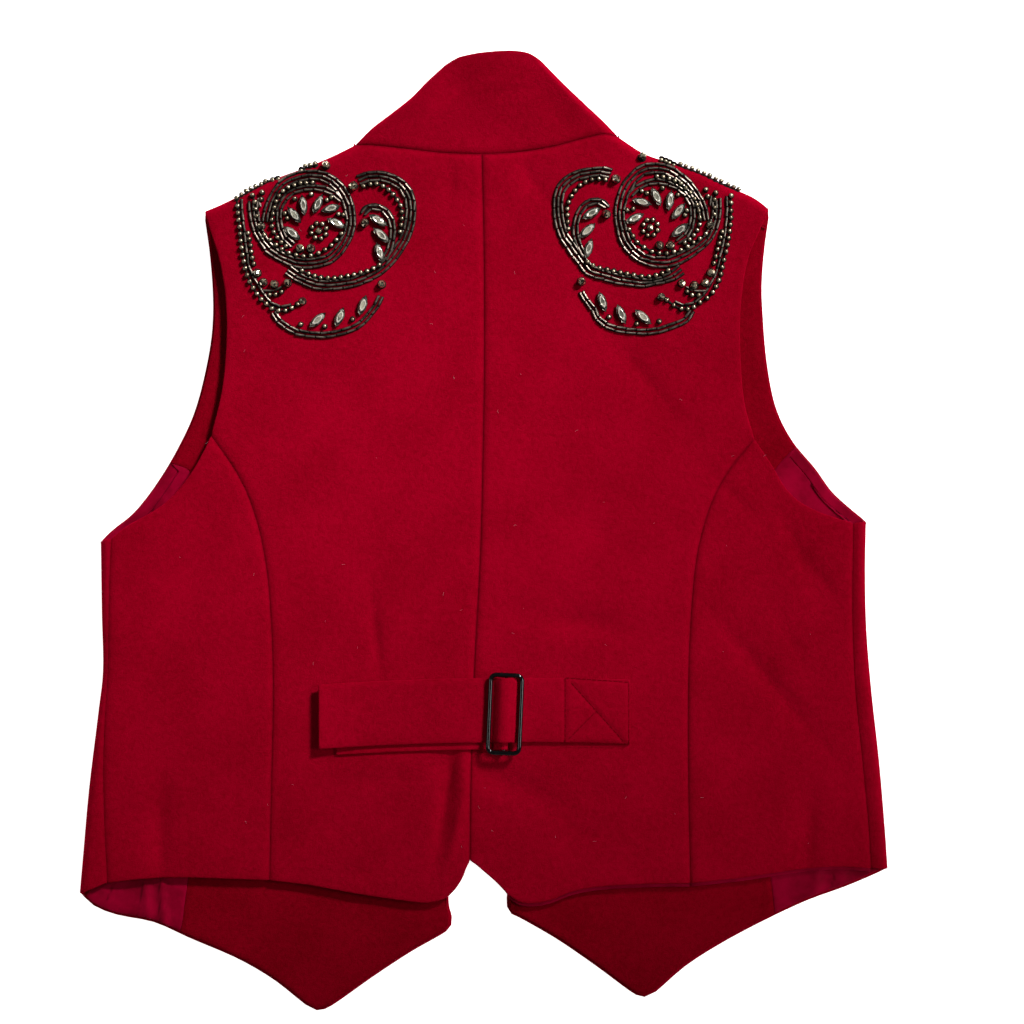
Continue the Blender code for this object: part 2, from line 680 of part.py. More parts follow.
def front_inside(side_name):
    """Inside the front: a wide wool facing from the centre, and lining from there to the side."""
    side = SIDES[side_name]
    middle = middle_of("facing", side)
    facing_line = through(side["facing_edge"], SIDE_ROWS)
    hem_curve = side["hem_front"] + side["hem_tip"][1:]
    armhole = between(side["armhole_front"], facing_line[-1], side["shoulder"][0], ARM_ROWS)
    armhole[-1] = armhole[-1] - (0, FROM_FOLD)
    outer = joined(facing_line, inset(armhole, EDGE_IN, middle))
    outer_hem = between(hem_curve, facing_line[0], side["hem_tip"][1], FACING_COLUMNS // 2)
    inner_hem = through(side["hem_tip"][1:], FACING_COLUMNS - FACING_COLUMNS // 2)
    bottom = inset(joined(outer_hem, inner_hem), HEM_IN, middle)
    top = inset(through(side["shoulder"], FACING_COLUMNS), FROM_FOLD, middle)
    neck = inset(neck_seam(side, "front_neck")[len(ROLL_ANGLES) :], FACING_NECK_IN, middle)
    neck[0] = neck[0] + (side["sign"] * EDGE_IN, -FROM_FOLD / 2)
    centre = inset(through(side["front_edge"], len(outer) - len(neck)), EDGE_IN, middle)
    centre[-1] = neck[-1]
    centre = joined(centre, neck[::-1])
    outer[0], centre[0], top[0], top[-1] = bottom[0], bottom[-1], outer[-1], centre[-1]
    plan = patch(bottom, top, outer, centre)
    wool, satin = material("wool", WOOL_RED, 0.9), material("satin", SATIN_RED, 0.45)
    sheet("front_facing_" + side_name, plan, side, FACING, wool, WOOL + SEAM_GAP, False)
    middle = middle_of("front_lining", side)
    seam = inset(outer[: SIDE_ROWS + 1], SEAM_GAP, middle)
    fold = inset(through(side["side_fold"], SIDE_ROWS), FROM_FOLD, middle)
    top = between(side["armhole_front"], fold[-1], seam[-1], FRONT_LINING_COLUMNS)
    top = inset(top, BAND_IN, middle)
    bottom = inset(between(hem_curve, fold[0], seam[0], FRONT_LINING_COLUMNS), HEM_IN, middle)
    seam[-1] = seam[-2] + (seam[-1] - seam[-2]) * LINING_POINT
    fold[0], fold[-1], bottom[-1], top[-1] = bottom[0], top[0], seam[0], seam[-1]
    plan = patch(bottom, top, fold, seam)
    sheet("front_lining_" + side_name, plan, side, LINING, satin, WOOL + SEAM_GAP, False)


COLLAR_ROWS = 5
COLLAR_LAYERS = (("neck", (0, 400)), ("front_neck", (0, 260)))  # its seam, and a place above it


def rolled_columns(fold, bottom, top):
    """Columns round a diagonal fold, from its outermost line to where the cloth is flat, between the
    bottom seam's and the top edge's first points."""
    columns = []
    for column in range(len(ROLL_ANGLES) + 1):
        share = np.linspace(0, 1, len(fold))[:, None]
        moved = (1 - share) * (bottom[column] - fold[0]) + share * (top[column] - fold[-1])
        columns.append(fold + moved)
    return np.stack(columns, axis=1)


def collar():
    """One flattened tube, open at the centre front: front, fold, back, fold, front."""
    halves = []
    flat = len(ROLL_ANGLES)
    for side in (LEFT, RIGHT):
        sign = side["sign"]
        fold = through(side["collar_fold"], COLLAR_ROWS)
        whole_top = COLLAR_TOP if sign < 0 else COLLAR_TOP[::-1]
        middle_top = through(whole_top, 2 * NECK_COLUMNS)[NECK_COLUMNS]
        back_top = [place for place in whole_top if (place[0] - middle_top[0]) * sign > 1]
        edges = {"neck": [*back_top, tuple(middle_top)], "front_neck": side["collar_front_top"]}
        up_fold = (fold[1] - fold[0]) / np.linalg.norm(fold[1] - fold[0])
        layers = []
        for seam, inwards in COLLAR_LAYERS:
            bottom = inset(neck_seam(side, seam), SEAM_GAP, inwards)
            top = from_fold(edges[seam], fold, NECK_COLUMNS)
            bottom[0], top[0] = fold[0] + SEAM_GAP * up_fold, fold[-1]
            roll = rolled_columns(fold, bottom, top)
            end = np.linspace(bottom[-1], top[-1], COLLAR_ROWS + 1)
            layers.append((roll, patch(bottom[flat:], top[flat:], roll[:, -1], end)))
        (over_roll, over), (under_roll, under) = layers
        front_part = [lower(under[:, ::-1]), lower(under_roll[:, -2:0:-1])]
        back_part = [upper(over_roll[:, :-1]), upper(over)]
        halves.append(np.concatenate([*front_part, *back_part], axis=1))
    left, right = halves
    points = np.concatenate([left, right[:, -2::-1]], axis=1)
    index = np.arange(points.shape[0] * points.shape[1]).reshape(points.shape[:2])
    wool = material("wool", WOOL_RED, 0.9)
    wall("collar", points.reshape(-1, 3), grid_faces(index), COLLAR_WALL, wool)


# ---------------------------------------------------------------- belt and slider

BELT_HALF = 18.9
LOOP_STRAP_HALF = 17.6
BELT_ROWS = 4
BAR_LIFT = 3.3  # middle of the slider's bar above the back
FRAME_LIFT = 6.2
# Each strap is rows of (distance to the right of the slider, height above the back).
UPPER_STRAP = [  # its top face, from the raised free end to the sewn end
    (-111, 6.2), (-96, 4.9), (-80, 4.1), (-50, 4.0), (-20, 4.0), (-11, 4.0), (-7.6, 4.4), (-5.4, 6.4),
    (-2.8, 8.3), (0, 8.8), (2.8, 8.2), (5.4, 6.2), (8, 4.2), (11, 3.4), (18, 2.6), (45, 2.6),
    (74.5, 2.6),
]
LOWER_STRAP = [(-101, 0.5), (-70, 0.5), (-40, 0.5), (-15, 0.5), (-6, 0.6)]  # its under face
LOWER_STRAP_TAIL = [(-3.8, 3.9), (-6.2, 3.2)]  # its upper face, past the bar
LOOP_ROOM = 0.4
LOOP_RADIUS = BAR_WIRE / 2 + LOOP_STRAP + LOOP_ROOM


def strap_surface(path, middle_y, half_width):
    """Points of a strap's outer face: the path across the back by rows over its width."""
    path = np.asarray(path, float)
    across = np.linspace(-half_width, half_width, BELT_ROWS + 1)[:, None]
    lean = SLIDER_LEAN * np.exp(-((path[:, 0] / LEAN_FADES) ** 2))
    x = SLIDER_X + path[:, 0] + across * lean
    y = middle_y - BELT_ARCH * ((x - BELT_HIGH_X) / BELT_ARCH_SPAN) ** 2 + across
    return np.dstack([x, y, lie(x, y) + path[:, 1]])


def strap(name, points, thickness, flipped):
    index = np.arange(points.shape[0] * points.shape[1]).reshape(points.shape[:2])
    faces = facing_way(grid_faces(index), flipped)
    wall(name, points.reshape(-1, 3), faces, thickness, material("wool", WOOL_RED, 0.9))


def belt():
    strap("belt_upper_strap", strap_surface(UPPER_STRAP, BELT_Y, BELT_HALF), STRAP, False)
    turns = np.radians(np.arange(-90, 121, 30))
    across, up = LOOP_RADIUS * np.cos(turns), BAR_LIFT + LOOP_RADIUS * np.sin(turns)
    loop = [*LOWER_STRAP, *zip(across, up), *LOWER_STRAP_TAIL]
    strap("belt_lower_strap", strap_surface(loop, LOOP_STRAP_Y, LOOP_STRAP_HALF), LOOP_STRAP, True)


def tube(path, radius, sides, closed):
    """A round wire along a path, as points and faces, with flat ends where it is open."""
    path = np.asarray(path, float)
    step = np.roll(path, -1, axis=0) - np.roll(path, 1, axis=0) if closed else np.gradient(path, axis=0)
    step /= np.linalg.norm(step, axis=1)[:, None]
    up = np.array([0.0, 0, 1])
    side = np.cross(step, up)
    lengths = np.linalg.norm(side, axis=1)[:, None]
    side = np.where(lengths > 0.2, side / np.maximum(lengths, 1e-6), [1.0, 0, 0])
    top = np.cross(side, step)
    turn = np.linspace(0, 2 * math.pi, sides, endpoint=False)
    spokes = np.cos(turn)[:, None] * side[:, None] + np.sin(turn)[:, None] * top[:, None]
    ring = path[:, None] + radius * spokes
    count = len(path)
    index = np.arange(count * sides).reshape(count, sides)
    index = np.concatenate([index, index[:, :1]], axis=1)
    if closed:
        index = np.concatenate([index, index[:1]])
    faces = [list(face) for face in grid_faces(index)]
    if not closed:
        faces += [list(range(sides))[::-1], list(range((count - 1) * sides, count * sides))]
    return ring.reshape(-1, 3), faces


def slider_wire(name, line, radius, closed):
    """A wire in the slider's own directions, put in its place on the back."""
    points, faces = tube(line, radius, WIRE_SIDES, closed)
    turn = -SLIDER_LEAN
    x = points[:, 0] * math.cos(turn) - points[:, 1] * math.sin(turn) + SLIDER_X
    y = points[:, 0] * math.sin(turn) + points[:, 1] * math.cos(turn) + SLIDER_Y
    z = points[:, 2] + float(lie(SLIDER_X, SLIDER_Y))
    return mesh_object(name, np.stack([x, y, z], axis=1), faces, material("gloss_black", BLACK, 0.15))


def slider():
    """A rounded frame of wire with a cranked bar down its middle, joined into one solid."""
    half_w, half_h = SLIDER_WIDTH / 2 - SLIDER_WIRE / 2, SLIDER_HEIGHT / 2 - SLIDER_WIRE / 2
    path = []
    for quarter, (right, up) in enumerate(((1, 1), (-1, 1), (-1, -1), (1, -1))):
        for turn in np.radians(90 * quarter + np.arange(0, 91, 30)):
            x = right * (half_w - SLIDER_CORNER) + SLIDER_CORNER * math.cos(turn)
            y = up * (half_h - SLIDER_CORNER) + SLIDER_CORNER * math.sin(turn)
            path.append((x, y, FRAME_LIFT))
    straight = LOOP_STRAP_HALF + BAR_CLEAR
    end = [
        (0, straight + past, BAR_LIFT + share * (FRAME_LIFT - BAR_LIFT)) for past, share in BAR_CRANK
    ]
    end.append((0, half_h, FRAME_LIFT))
    bar = [(x, -y, z) for x, y, z in end[::-1]] + end
    frame = slider_wire("frame", path, SLIDER_WIRE / 2, True)
    cross_bar = slider_wire("cross_bar", bar, BAR_WIRE / 2, False)
    union = frame.modifiers.new("union", "BOOLEAN")
    union.operation = "UNION"
    union.solver = "EXACT"
    union.object = cross_bar
    evaluated = frame.evaluated_get(bpy.context.evaluated_depsgraph_get())
    joined_mesh = bpy.data.meshes.new_from_object(evaluated)
    frame.modifiers.clear()
    frame.data = joined_mesh
    frame.name = joined_mesh.name = "slider_buckle"
    bpy.data.objects.remove(cross_bar)


# ---------------------------------------------------------------- beadwork

def shoulder_place(side_name, x, y):
    """A place in the beadwork, from the middle of the left roundel, mirrored on the right."""
    at = BEADS_AT[side_name]
    return at[0] + (x if side_name == "left" else -x), at[1] + y


def roundel_spine():
    turns = np.linspace(0, ROUNDEL_TURN, ROUNDEL_STEPS + 1)
    radius = ROUNDEL_RADIUS + ROUNDEL_SWING * np.exp(-turns / ROUNDEL_SETTLES)
    angle = np.radians(ROUNDEL_START + turns)
    return np.stack([radius * np.cos(angle), radius * np.sin(angle)], axis=1)


def bead_band(name, side_name, spine, rows):
    """Rows of tube beads side by side along a spine: a wall with a ridge for each row."""
    spine = np.asarray(spine, float)
    step = np.gradient(spine, axis=0)
    normal = np.stack([-step[:, 1], step[:, 0]], axis=1) / np.linalg.norm(step, axis=1)[:, None]
    half = rows * BEAD_ROW / 2
    across = np.linspace(-half, half, 2 * rows + 1)
    raised = np.where(np.arange(len(across)) % 2 == 1, BEAD_HEIGHT, BEAD_BASE)
    plan = spine[None] + across[:, None, None] * normal[None]
    x, y = shoulder_place(side_name, plan[..., 0], plan[..., 1])
    points = upper(np.dstack([x, y]))
    index = np.arange(points.shape[0] * points.shape[1]).reshape(points.shape[:2])
    faces = facing_way(grid_faces(index), side_name == "right")
    flat = points.reshape(-1, 3)
    normals = point_normals(flat, faces)
    height = np.repeat(raised, points.shape[1])[:, None]
    count = len(flat)
    outer = flat + normals * (BAND_CLEAR + height)
    inner = flat + normals * BAND_CLEAR
    rim = rim_of(faces)
    sides = np.stack([rim[:, 1], rim[:, 0], rim[:, 0] + count, rim[:, 1] + count], axis=1)
    all_faces = np.vstack([faces, turned(faces) + count, sides])
    metal = material("bead_metal", BEAD_METAL, 0.35, 0.9)
    mesh_object(name, np.vstack([outer, inner]), all_faces, metal)


def stone(name, side_name, x, y, angle):
    """A pointed oval stone in its cup: a girdle, a smaller flat top and a flat foot."""
    if side_name == "right":
        angle = 180 - angle
    middle = np.array(shoulder_place(side_name, x, y))
    turn = math.radians(angle)
    sides = STONE_SIDES
    t = np.linspace(0, 2 * math.pi, sides, endpoint=False)
    bulge = np.sin(t) * np.abs(np.sin(t)) ** STONE_POINTED
    outline = np.stack([np.cos(t) * STONE_LENGTH / 2, bulge * STONE_WIDTH / 2], axis=1)
    ground = upper(middle.reshape(1, 1, 2))[0, 0, 2]
    points = []
    for share, height in STONE_RINGS:
        shape = outline * share
        px = middle[0] + shape[:, 0] * math.cos(turn) - shape[:, 1] * math.sin(turn)
        py = middle[1] + shape[:, 0] * math.sin(turn) + shape[:, 1] * math.cos(turn)
        points.append(np.stack([px, py, np.full(sides, ground + CUP_CLEAR + height)], axis=1))
    points = np.vstack(points)
    index = np.arange(3 * sides).reshape(3, sides)
    index = np.concatenate([index, index[:, :1]], axis=1)
    faces = [list(face) for face in grid_faces(index)]
    faces += [list(range(sides))[::-1], list(range(2 * sides, 3 * sides))]
    mesh_object(name, points, faces, material("stone", STONE_GREY, 0.1, 0.2), 20)


def beadwork(side_name):
    bead_band("beads_roundel_" + side_name, side_name, roundel_spine(), 3)
    for row in BANDS:
        band = dict(zip(BAND_COLUMNS, row))
        spine = through(band["spine"], 2 * len(band["spine"]))
        bead_band("beads_" + band["name"] + "_" + side_name, side_name, spine, band["rows"])
    for number, row in enumerate(STONES):
        place = dict(zip(STONE_COLUMNS, row))
        name = "stone_%s_%02d" % (side_name, number + 1)
        stone(name, side_name, place["x"], place["y"], place["angle"])


clear_scene()
for name in SIDES:
    back(name)
    side_back(name)
    front(name)
    front_inside(name)
    beadwork(name)
collar()
belt()
slider()
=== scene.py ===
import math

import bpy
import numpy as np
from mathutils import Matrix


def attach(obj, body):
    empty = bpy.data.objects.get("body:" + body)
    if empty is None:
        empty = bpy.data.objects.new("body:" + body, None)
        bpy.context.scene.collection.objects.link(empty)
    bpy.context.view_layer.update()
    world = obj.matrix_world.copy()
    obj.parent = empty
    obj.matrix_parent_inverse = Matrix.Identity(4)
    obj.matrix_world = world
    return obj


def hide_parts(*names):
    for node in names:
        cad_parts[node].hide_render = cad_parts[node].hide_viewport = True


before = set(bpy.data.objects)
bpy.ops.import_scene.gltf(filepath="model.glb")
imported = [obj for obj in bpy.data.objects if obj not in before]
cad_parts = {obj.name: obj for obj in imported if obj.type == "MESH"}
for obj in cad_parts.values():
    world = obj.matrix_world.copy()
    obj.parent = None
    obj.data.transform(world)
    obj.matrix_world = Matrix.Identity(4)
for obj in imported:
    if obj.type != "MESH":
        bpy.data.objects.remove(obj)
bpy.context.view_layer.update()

# %% [markdown]
# # A beaded wool waistcoat, laid out flat
#
# The waistcoat lies on a table with its back up. Its two fronts lie face down, wrap round a soft fold at
# each side, and come up to the side seams. The backs lie on them like a second, empty layer. One idea runs
# through the whole script: every cloth is first drawn flat, as a pattern piece seen from above, and two
# height functions then say where the upper and the lower layer lie. Seams, folds, straps, beads and
# stitches all stand on the same two functions, so nothing has to be fitted by eye.

MM = 0.001
rng = np.random.default_rng(31)

# %% [markdown]
# ## The sizes that a tailor would write down
#
# Wool melton for a waistcoat is about two millimetres thick. The linings are thinner. The garment is empty,
# so its back lies only about nine millimetres above the table, and it rises towards the stiff collar.

# %% Cloth sizes in millimetres
WOOL, COLLAR_WALL, FACING, LINING, BAND = 1.8, 2.6, 1.2, 1.0, 1.1
STRAP, LOOP_STRAP = 1.8, 1.2
SEAM_GAP = 0.3
LIE, NECK_RISE, COLLAR_RISE, LEAST_LIE = 8.8, 2.4, 5.6, 7.0
FOLD_MIDDLE, FOLD_REACH = 0.475, 0.6  # a fold's height and reach, as shares of the laid height
REACH = FOLD_REACH * LIE
print("the back lies", LIE, "mm above the table and the collar's edge", LIE + NECK_RISE + COLLAR_RISE)

# %% [markdown]
# ## The cut
#
# Each table row below is an edge of a pattern piece as it lies, in millimetres: +X to the right, +Y towards
# the collar. Edges run upwards, or from the side towards the centre. A few points are enough, because a
# smooth curve is drawn through them afterwards.

# %% The edges of every piece
CENTRE_BACK = [
    (-8.2, -198.3), (-7.9, -168), (-7, -128), (-5.2, -76), (-2, -15), (-0.4, 50), (0.4, 105), (0.2, 165),
    (-1, 225),
]
COLLAR_TOP = [
    (-24, 277.6), (-16, 281.5), (-4, 284.4), (8, 285.7), (17, 286), (25, 285), (31, 282.8), (36.4, 279.2),
]
LEFT = {
    "name": "left",
    "sign": -1,
    "side_fold": [(-242.6, -218), (-240.6, -195), (-237, -155), (-231.5, -110), (-228.7, -84), (-229.4, -50),
        (-230, -7.4)],
    "side_seam": [(-225.7, -211.5), (-227.6, -172), (-228, -133), (-225.4, -80), (-224.8, -40), (-223.5, -6)],
    "princess": [(-128.4, -210), (-127.3, -150), (-126.3, -102), (-127.2, -60), (-130.4, -22), (-137, 8),
        (-147, 32), (-163, 55.8)],
    "armhole_side": [(-223.5, -6), (-213, 2), (-201, 8.6), (-190, 16), (-180, 26.6), (-171, 40),
        (-163, 55.8)],
    "armhole_back": [(-163, 55.8), (-156.3, 84), (-153.6, 114), (-154.2, 140), (-158.6, 165), (-167, 191.2)],
    "armhole_front": [(-230, -7.4), (-222, 0), (-210, 9.8), (-197.4, 25.6), (-184.8, 46), (-173.8, 69.4),
        (-166.6, 96), (-162.6, 122), (-162.8, 150), (-167, 191.2)],
    "shoulder": [(-167, 191.2), (-158, 195), (-145, 201.2), (-126, 210.4), (-108, 217), (-92, 223.6),
        (-76.8, 231)],
    "neck": [(-76.8, 231), (-64, 230.2), (-46, 228.2), (-24, 225.8), (-1, 225)],
    "hem_side": [(-225.7, -211.5), (-206, -209.2), (-180, -208.3), (-155, -209), (-128.4, -210)],
    "hem_back": [(-128.4, -210), (-104, -213), (-76, -218), (-50, -221.9), (-33, -223.3), (-22.1, -220.4)],
    "notch": [(-22.1, -220.4), (-17, -215), (-13, -208.6), (-10.6, -202.4), (-8.2, -198.3)],
    "hem_front": [(-242.6, -218), (-234, -226), (-220, -231.4), (-198, -235.8), (-176, -245.6),
        (-148, -257.6), (-126, -270.4), (-107, -285.4)],
    "hem_tip": [(-107, -285.4), (-100.4, -288.8), (-92, -286.2), (-66, -268), (-44, -253.6), (-26, -243.4),
        (-20.4, -239), (-19.6, -233)],
    "front_edge": [(-19.6, -233), (-21.6, -219), (-18.5, -170), (-12, -80), (-8.5, 20), (-6.8, 110),
        (-6.5, 163)],
    "front_neck": [(-76.8, 231), (-74.5, 211), (-62, 187), (-42, 171), (-23, 164.6), (-6.5, 163)],
    "collar_fold": [(-76.8, 231), (-67, 240.7), (-55, 249.8), (-43.4, 259), (-33.6, 268.9), (-24, 277.6)],
    "collar_front_top": [(-24, 277.6), (-23, 262), (-17, 242), (-6.5, 226)],
    "facing_edge": [(-181.5, -241), (-176.6, -205), (-168, -140), (-164, -50), (-166, 10), (-175, 33.6),
        (-188, 40.5)],
}
RIGHT = {
    "name": "right",
    "sign": 1,
    "side_fold": [(242.8, -203.2), (241.2, -180), (237.8, -140), (233.2, -98), (230.2, -62), (229.3, -28),
        (229.8, 4.4)],
    "side_seam": [(232.6, -202.6), (230.6, -172), (226.8, -133), (223, -94), (221.4, -50), (221.9, 3.2)],
    "princess": [(124.2, -211.8), (123, -158), (122.7, -108), (123.8, -64), (127.4, -20), (134.6, 10),
        (145.6, 33), (162, 54)],
    "armhole_side": [(221.9, 3.2), (209.2, 7.2), (198, 11.4), (188, 17.2), (180, 25.6), (172.6, 38),
        (162, 54)],
    "armhole_back": [(162, 54), (156, 76), (153.6, 104), (153.8, 134), (158.6, 164), (171, 192.8)],
    "armhole_front": [(229.8, 4.4), (220.4, 12), (209, 22.6), (199, 36.4), (185, 53.4), (175.4, 73),
        (170.2, 98), (167.6, 126), (167, 152), (171, 192.8)],
    "shoulder": [(171, 192.8), (162, 199.4), (148, 205.6), (130, 214.4), (112, 220.4), (96, 226),
        (80.4, 236)],
    "neck": [(80.4, 236), (72, 237), (58, 233.9), (40, 229.2), (20, 226.2), (-1, 225)],
    "hem_side": [(232.6, -202.6), (210, -201.7), (186, -203.8), (155, -208.4), (124.2, -211.8)],
    "hem_back": [(124.2, -211.8), (98, -212.2), (72, -213.6), (54, -216.6), (38, -222.4), (24, -223.4),
        (15, -218.5)],
    "notch": [(15, -218.5), (7.5, -210.8), (0.6, -204.8), (-4.6, -200.4), (-8.2, -198.3)],
    "hem_front": [(242.8, -203.2), (232, -208.2), (216, -214.8), (195, -222.4), (172, -233), (146, -246.6),
        (122, -261.6), (103, -278)],
    "hem_tip": [(103, -278), (96.6, -280.8), (90, -278.4), (68, -262.2), (45, -246.4), (24, -234.2),
        (15.6, -229.6), (14.4, -222)],
    "front_edge": [(14.4, -222), (14.8, -210), (12, -170), (8, -80), (6, 20), (5.4, 110), (5.5, 163)],
    "front_neck": [(80.4, 236), (79, 214), (66, 189), (44, 172), (23, 164.8), (5.5, 163)],
    "collar_fold": [(80.4, 236), (72, 244.8), (60, 256), (49, 266.4), (41.8, 273.6), (36.4, 279.2)],
    "collar_front_top": [(36.4, 279.2), (33, 262), (22.5, 242), (5.5, 226)],
    "facing_edge": [(174.6, -229.5), (171.9, -205), (165, -140), (161, -50), (164, 12), (174.6, 35.4),
        (187, 49.6)],
}
SIDES = LEFT, RIGHT
print("centre back seam of", len(CENTRE_BACK), "points; edges for each side:", len(LEFT) - 2)

# %% [markdown]
# ## Soft folds
#
# Wool that lies empty keeps a few broad troughs and ridges. Each is one row of a table: where its middle
# is, how long and how wide it is, which way it runs, and how high it stands. A bell curve gives its shape.

# %% The folds of the laid-out garment
FOLDS = [  # (x, y, half its length, half its width, the way it runs in degrees, height)
    # the left side back and its hem
    (-194, -178, 42, 8, 90, -1.3), (-210, -204, 18, 16, 0, 1.1), (-184, -92, 30, 18, 60, -0.7),
    (-176, -34, 34, 10, 62, -0.8),
    # the left back
    (-137, 84, 34, 20, 80, -0.6), (-66, -62, 24, 6, 96, -0.7), (-62, -164, 46, 20, 10, -0.8),
    # beside the centre seam, under the belt
    (-23, -168, 30, 6, 84, -1.2), (-14, -158, 26, 5, 86, 0.9),
    # the right back, from the beadwork down past the belt
    (50, -54, 40, 11, -6, -1.1), (60, 4, 30, 10, -32, -0.7), (97, 88, 46, 11, -55, -0.9),
    (52, -188, 30, 9, 32, -1.2),
    # the right side back
    (174, -94, 54, 11, -50, -1.2), (193, -184, 30, 8, 88, -1), (195, -22, 32, 9, -62, -1.1),
    # neck and collar
    (30, 212, 20, 10, -60, -0.8), (-22, 209, 14, 5, 88, -0.5), (-15, 269, 16, 9, 50, -1.4),
    (44, 252, 18, 9, -48, -0.7),
]
CREASES = [  # the same columns: smaller, sharper marks in the cloth's surface
    # below the belt
    (-23.2, -163, 30, 3.4, 80, -1.6), (-15.4, -176, 26, 3.4, 76, 1.6), (-25, -141, 9, 7, 55, -1.6),
    (-12.5, -144, 12, 5, 84, 1), (8, -150, 14, 8, -25, -1.8), (30, -158, 26, 9, -34, -1.2),
    (-60, -150, 20, 5, 8, -0.6), (-92, -178, 22, 8, 24, -0.9), (-122, -172, 26, 4, 86, -0.4),
    (-48, -192, 22, 5, 30, -0.6), (-70, -205, 26, 6, 12, -0.5),
    # the right back
    (49, -184, 25, 5.6, 36, -1.4), (78, -160, 27, 7, 8, -0.9), (28, -206, 18, 3.6, 28, -0.7),
    (60, -57, 27, 7.5, -6, -1.3), (42, -38, 20, 5, -30, -0.5), (98, 90, 22, 4, -50, -0.5),
    # the left back
    (-64.6, -64, 25, 3.2, 95, -0.75), (-78, -84, 16, 5, 60, -0.4), (-40, -30, 30, 6, 80, -0.35),
    # the side backs
    (-191, -72, 26, 4, 55, -0.6), (-194, -190, 28, 3.6, 90, -0.95), (-206, -112, 28, 4, 72, -0.5),
    (-187, -26, 20, 3.6, 40, -0.55), (-156, 10, 24, 3.6, 48, -0.5), (174, -94, 44, 4.6, -50, -1),
    (186, -70, 24, 4, -62, -0.5), (196, -180, 26, 3.6, 88, -0.7), (189, -14, 20, 3.6, -66, -0.6),
    (203, -30, 14, 3, -52, -0.5), (150, 20, 22, 3.6, -44, -0.5), (168, -160, 24, 5, 70, -0.4),
    # neck and collar
    (30, 208, 18, 3.6, -52, -0.5), (-36, 205, 18, 3.6, 40, -0.45), (-12, 266, 12, 2.6, 42, -0.6),
    (-24, 260, 10, 2.8, 58, -0.5), (16, 262, 18, 3.6, 12, -0.4), (-19.1, 207, 9, 1.5, 88, -0.45),
    (26.4, 211, 12, 2.2, 88, -0.4),
]
print(len(FOLDS), "folds and", len(CREASES), "creases")

# %% [markdown]
# ## Drawing with numpy
#
# A curve goes smoothly through its points (a Catmull-Rom spline) and is then cut into equal steps. A pattern
# piece is filled in between its four edges: a Coons patch adds the two ruled surfaces between opposite edges
# and takes the four corners off again. Everything is worked out as whole arrays.

# %% Curves and patches
CURVE_STEPS = 24  # from each point of a table to the next
FINE_STEPS = 400  # along a curve on which a place is looked for


def step_lengths(line):
    """The distance from each point of a line to the next."""
    return np.linalg.norm(np.diff(line, axis=0), axis=1)


def unit(vectors, least=0.0):
    """The vectors, each divided by its length."""
    return vectors / np.maximum(np.linalg.norm(vectors, axis=-1, keepdims=True), least)


def left_of(line):
    """At each point of a line, the unit vector that points to its left."""
    step = np.gradient(line, axis=0)
    return unit(np.stack([-step[:, 1], step[:, 0]], axis=1))


def along(line, count):
    """count + 1 points at equal steps along a line."""
    steps = np.concatenate([[0], np.cumsum(step_lengths(line))])
    places = np.linspace(0, steps[-1], count + 1)
    return np.stack([np.interp(places, steps, line[:, k]) for k in range(line.shape[1])], axis=1)


def smooth_line(points):
    """A smooth curve: from q to r it is the Catmull-Rom cubic of the four points p, q, r and s."""
    points = np.asarray(points, float)
    padded = np.vstack([2 * points[0] - points[1], points, 2 * points[-1] - points[-2]])
    t = np.linspace(0, 1, CURVE_STEPS, endpoint=False)[:, None]
    p, q, r, s = padded[:-3, None], padded[1:-2, None], padded[2:-1, None], padded[3:, None]
    square, cube = 2 * p - 5 * q + 4 * r - s, 3 * q - p - 3 * r + s
    curve = 0.5 * (2 * q + (r - p) * t + square * t**2 + cube * t**3)
    return np.vstack([curve.reshape(-1, points.shape[1]), points[-1:]])


def through(points, count):
    """The smooth curve through the points, as count + 1 points at equal steps."""
    return along(smooth_line(points), count)


def joined(*lines):
    """Lines end to end, with each shared point once."""
    return np.vstack([lines[0], *[line[1:] for line in lines[1:]]])


def inset(line, amount, inwards):
    """The line moved sideways by amount, to the side where the place inwards is."""
    normal = left_of(line)
    facing = np.sign(((np.asarray(inwards) - line) * normal).sum(1))
    return line + amount * facing[:, None] * normal


def between(points, start, end, count):
    """The part of the smooth curve from near one place to near another, as count + 1 points."""
    fine = through(points, FINE_STEPS)
    first, last = (np.argmin(np.linalg.norm(fine - place, axis=1)) for place in (start, end))
    return along(fine[min(first, last) : max(first, last) + 1], count)


def patch(bottom, top, start, end):
    """A grid of places between four edges: the two ruled surfaces added, less the four corners' own."""
    across = np.linspace(0, 1, len(bottom))[None, :, None]
    up = np.linspace(0, 1, len(start))[:, None, None]
    ruled = (1 - up) * bottom[None] + up * top[None] + (1 - across) * start[:, None] + across * end[:, None]
    low, high = ((1 - across) * edge[0] + across * edge[-1] for edge in (bottom, top))
    return ruled - ((1 - up) * low + up * high)


print("a curve through the centre back seam is", len(through(CENTRE_BACK, 60)), "points long")

# %% [markdown]
# ## Where the cloth lies
#
# `lie` is the height of the upper layer away from the folds. Near a side or shoulder fold the cloth rolls
# down round a quarter of an ellipse, and the lower layer rolls up to meet it. At a seam the cloth dips,
# because the stitches pull it down. These three facts make the whole form.

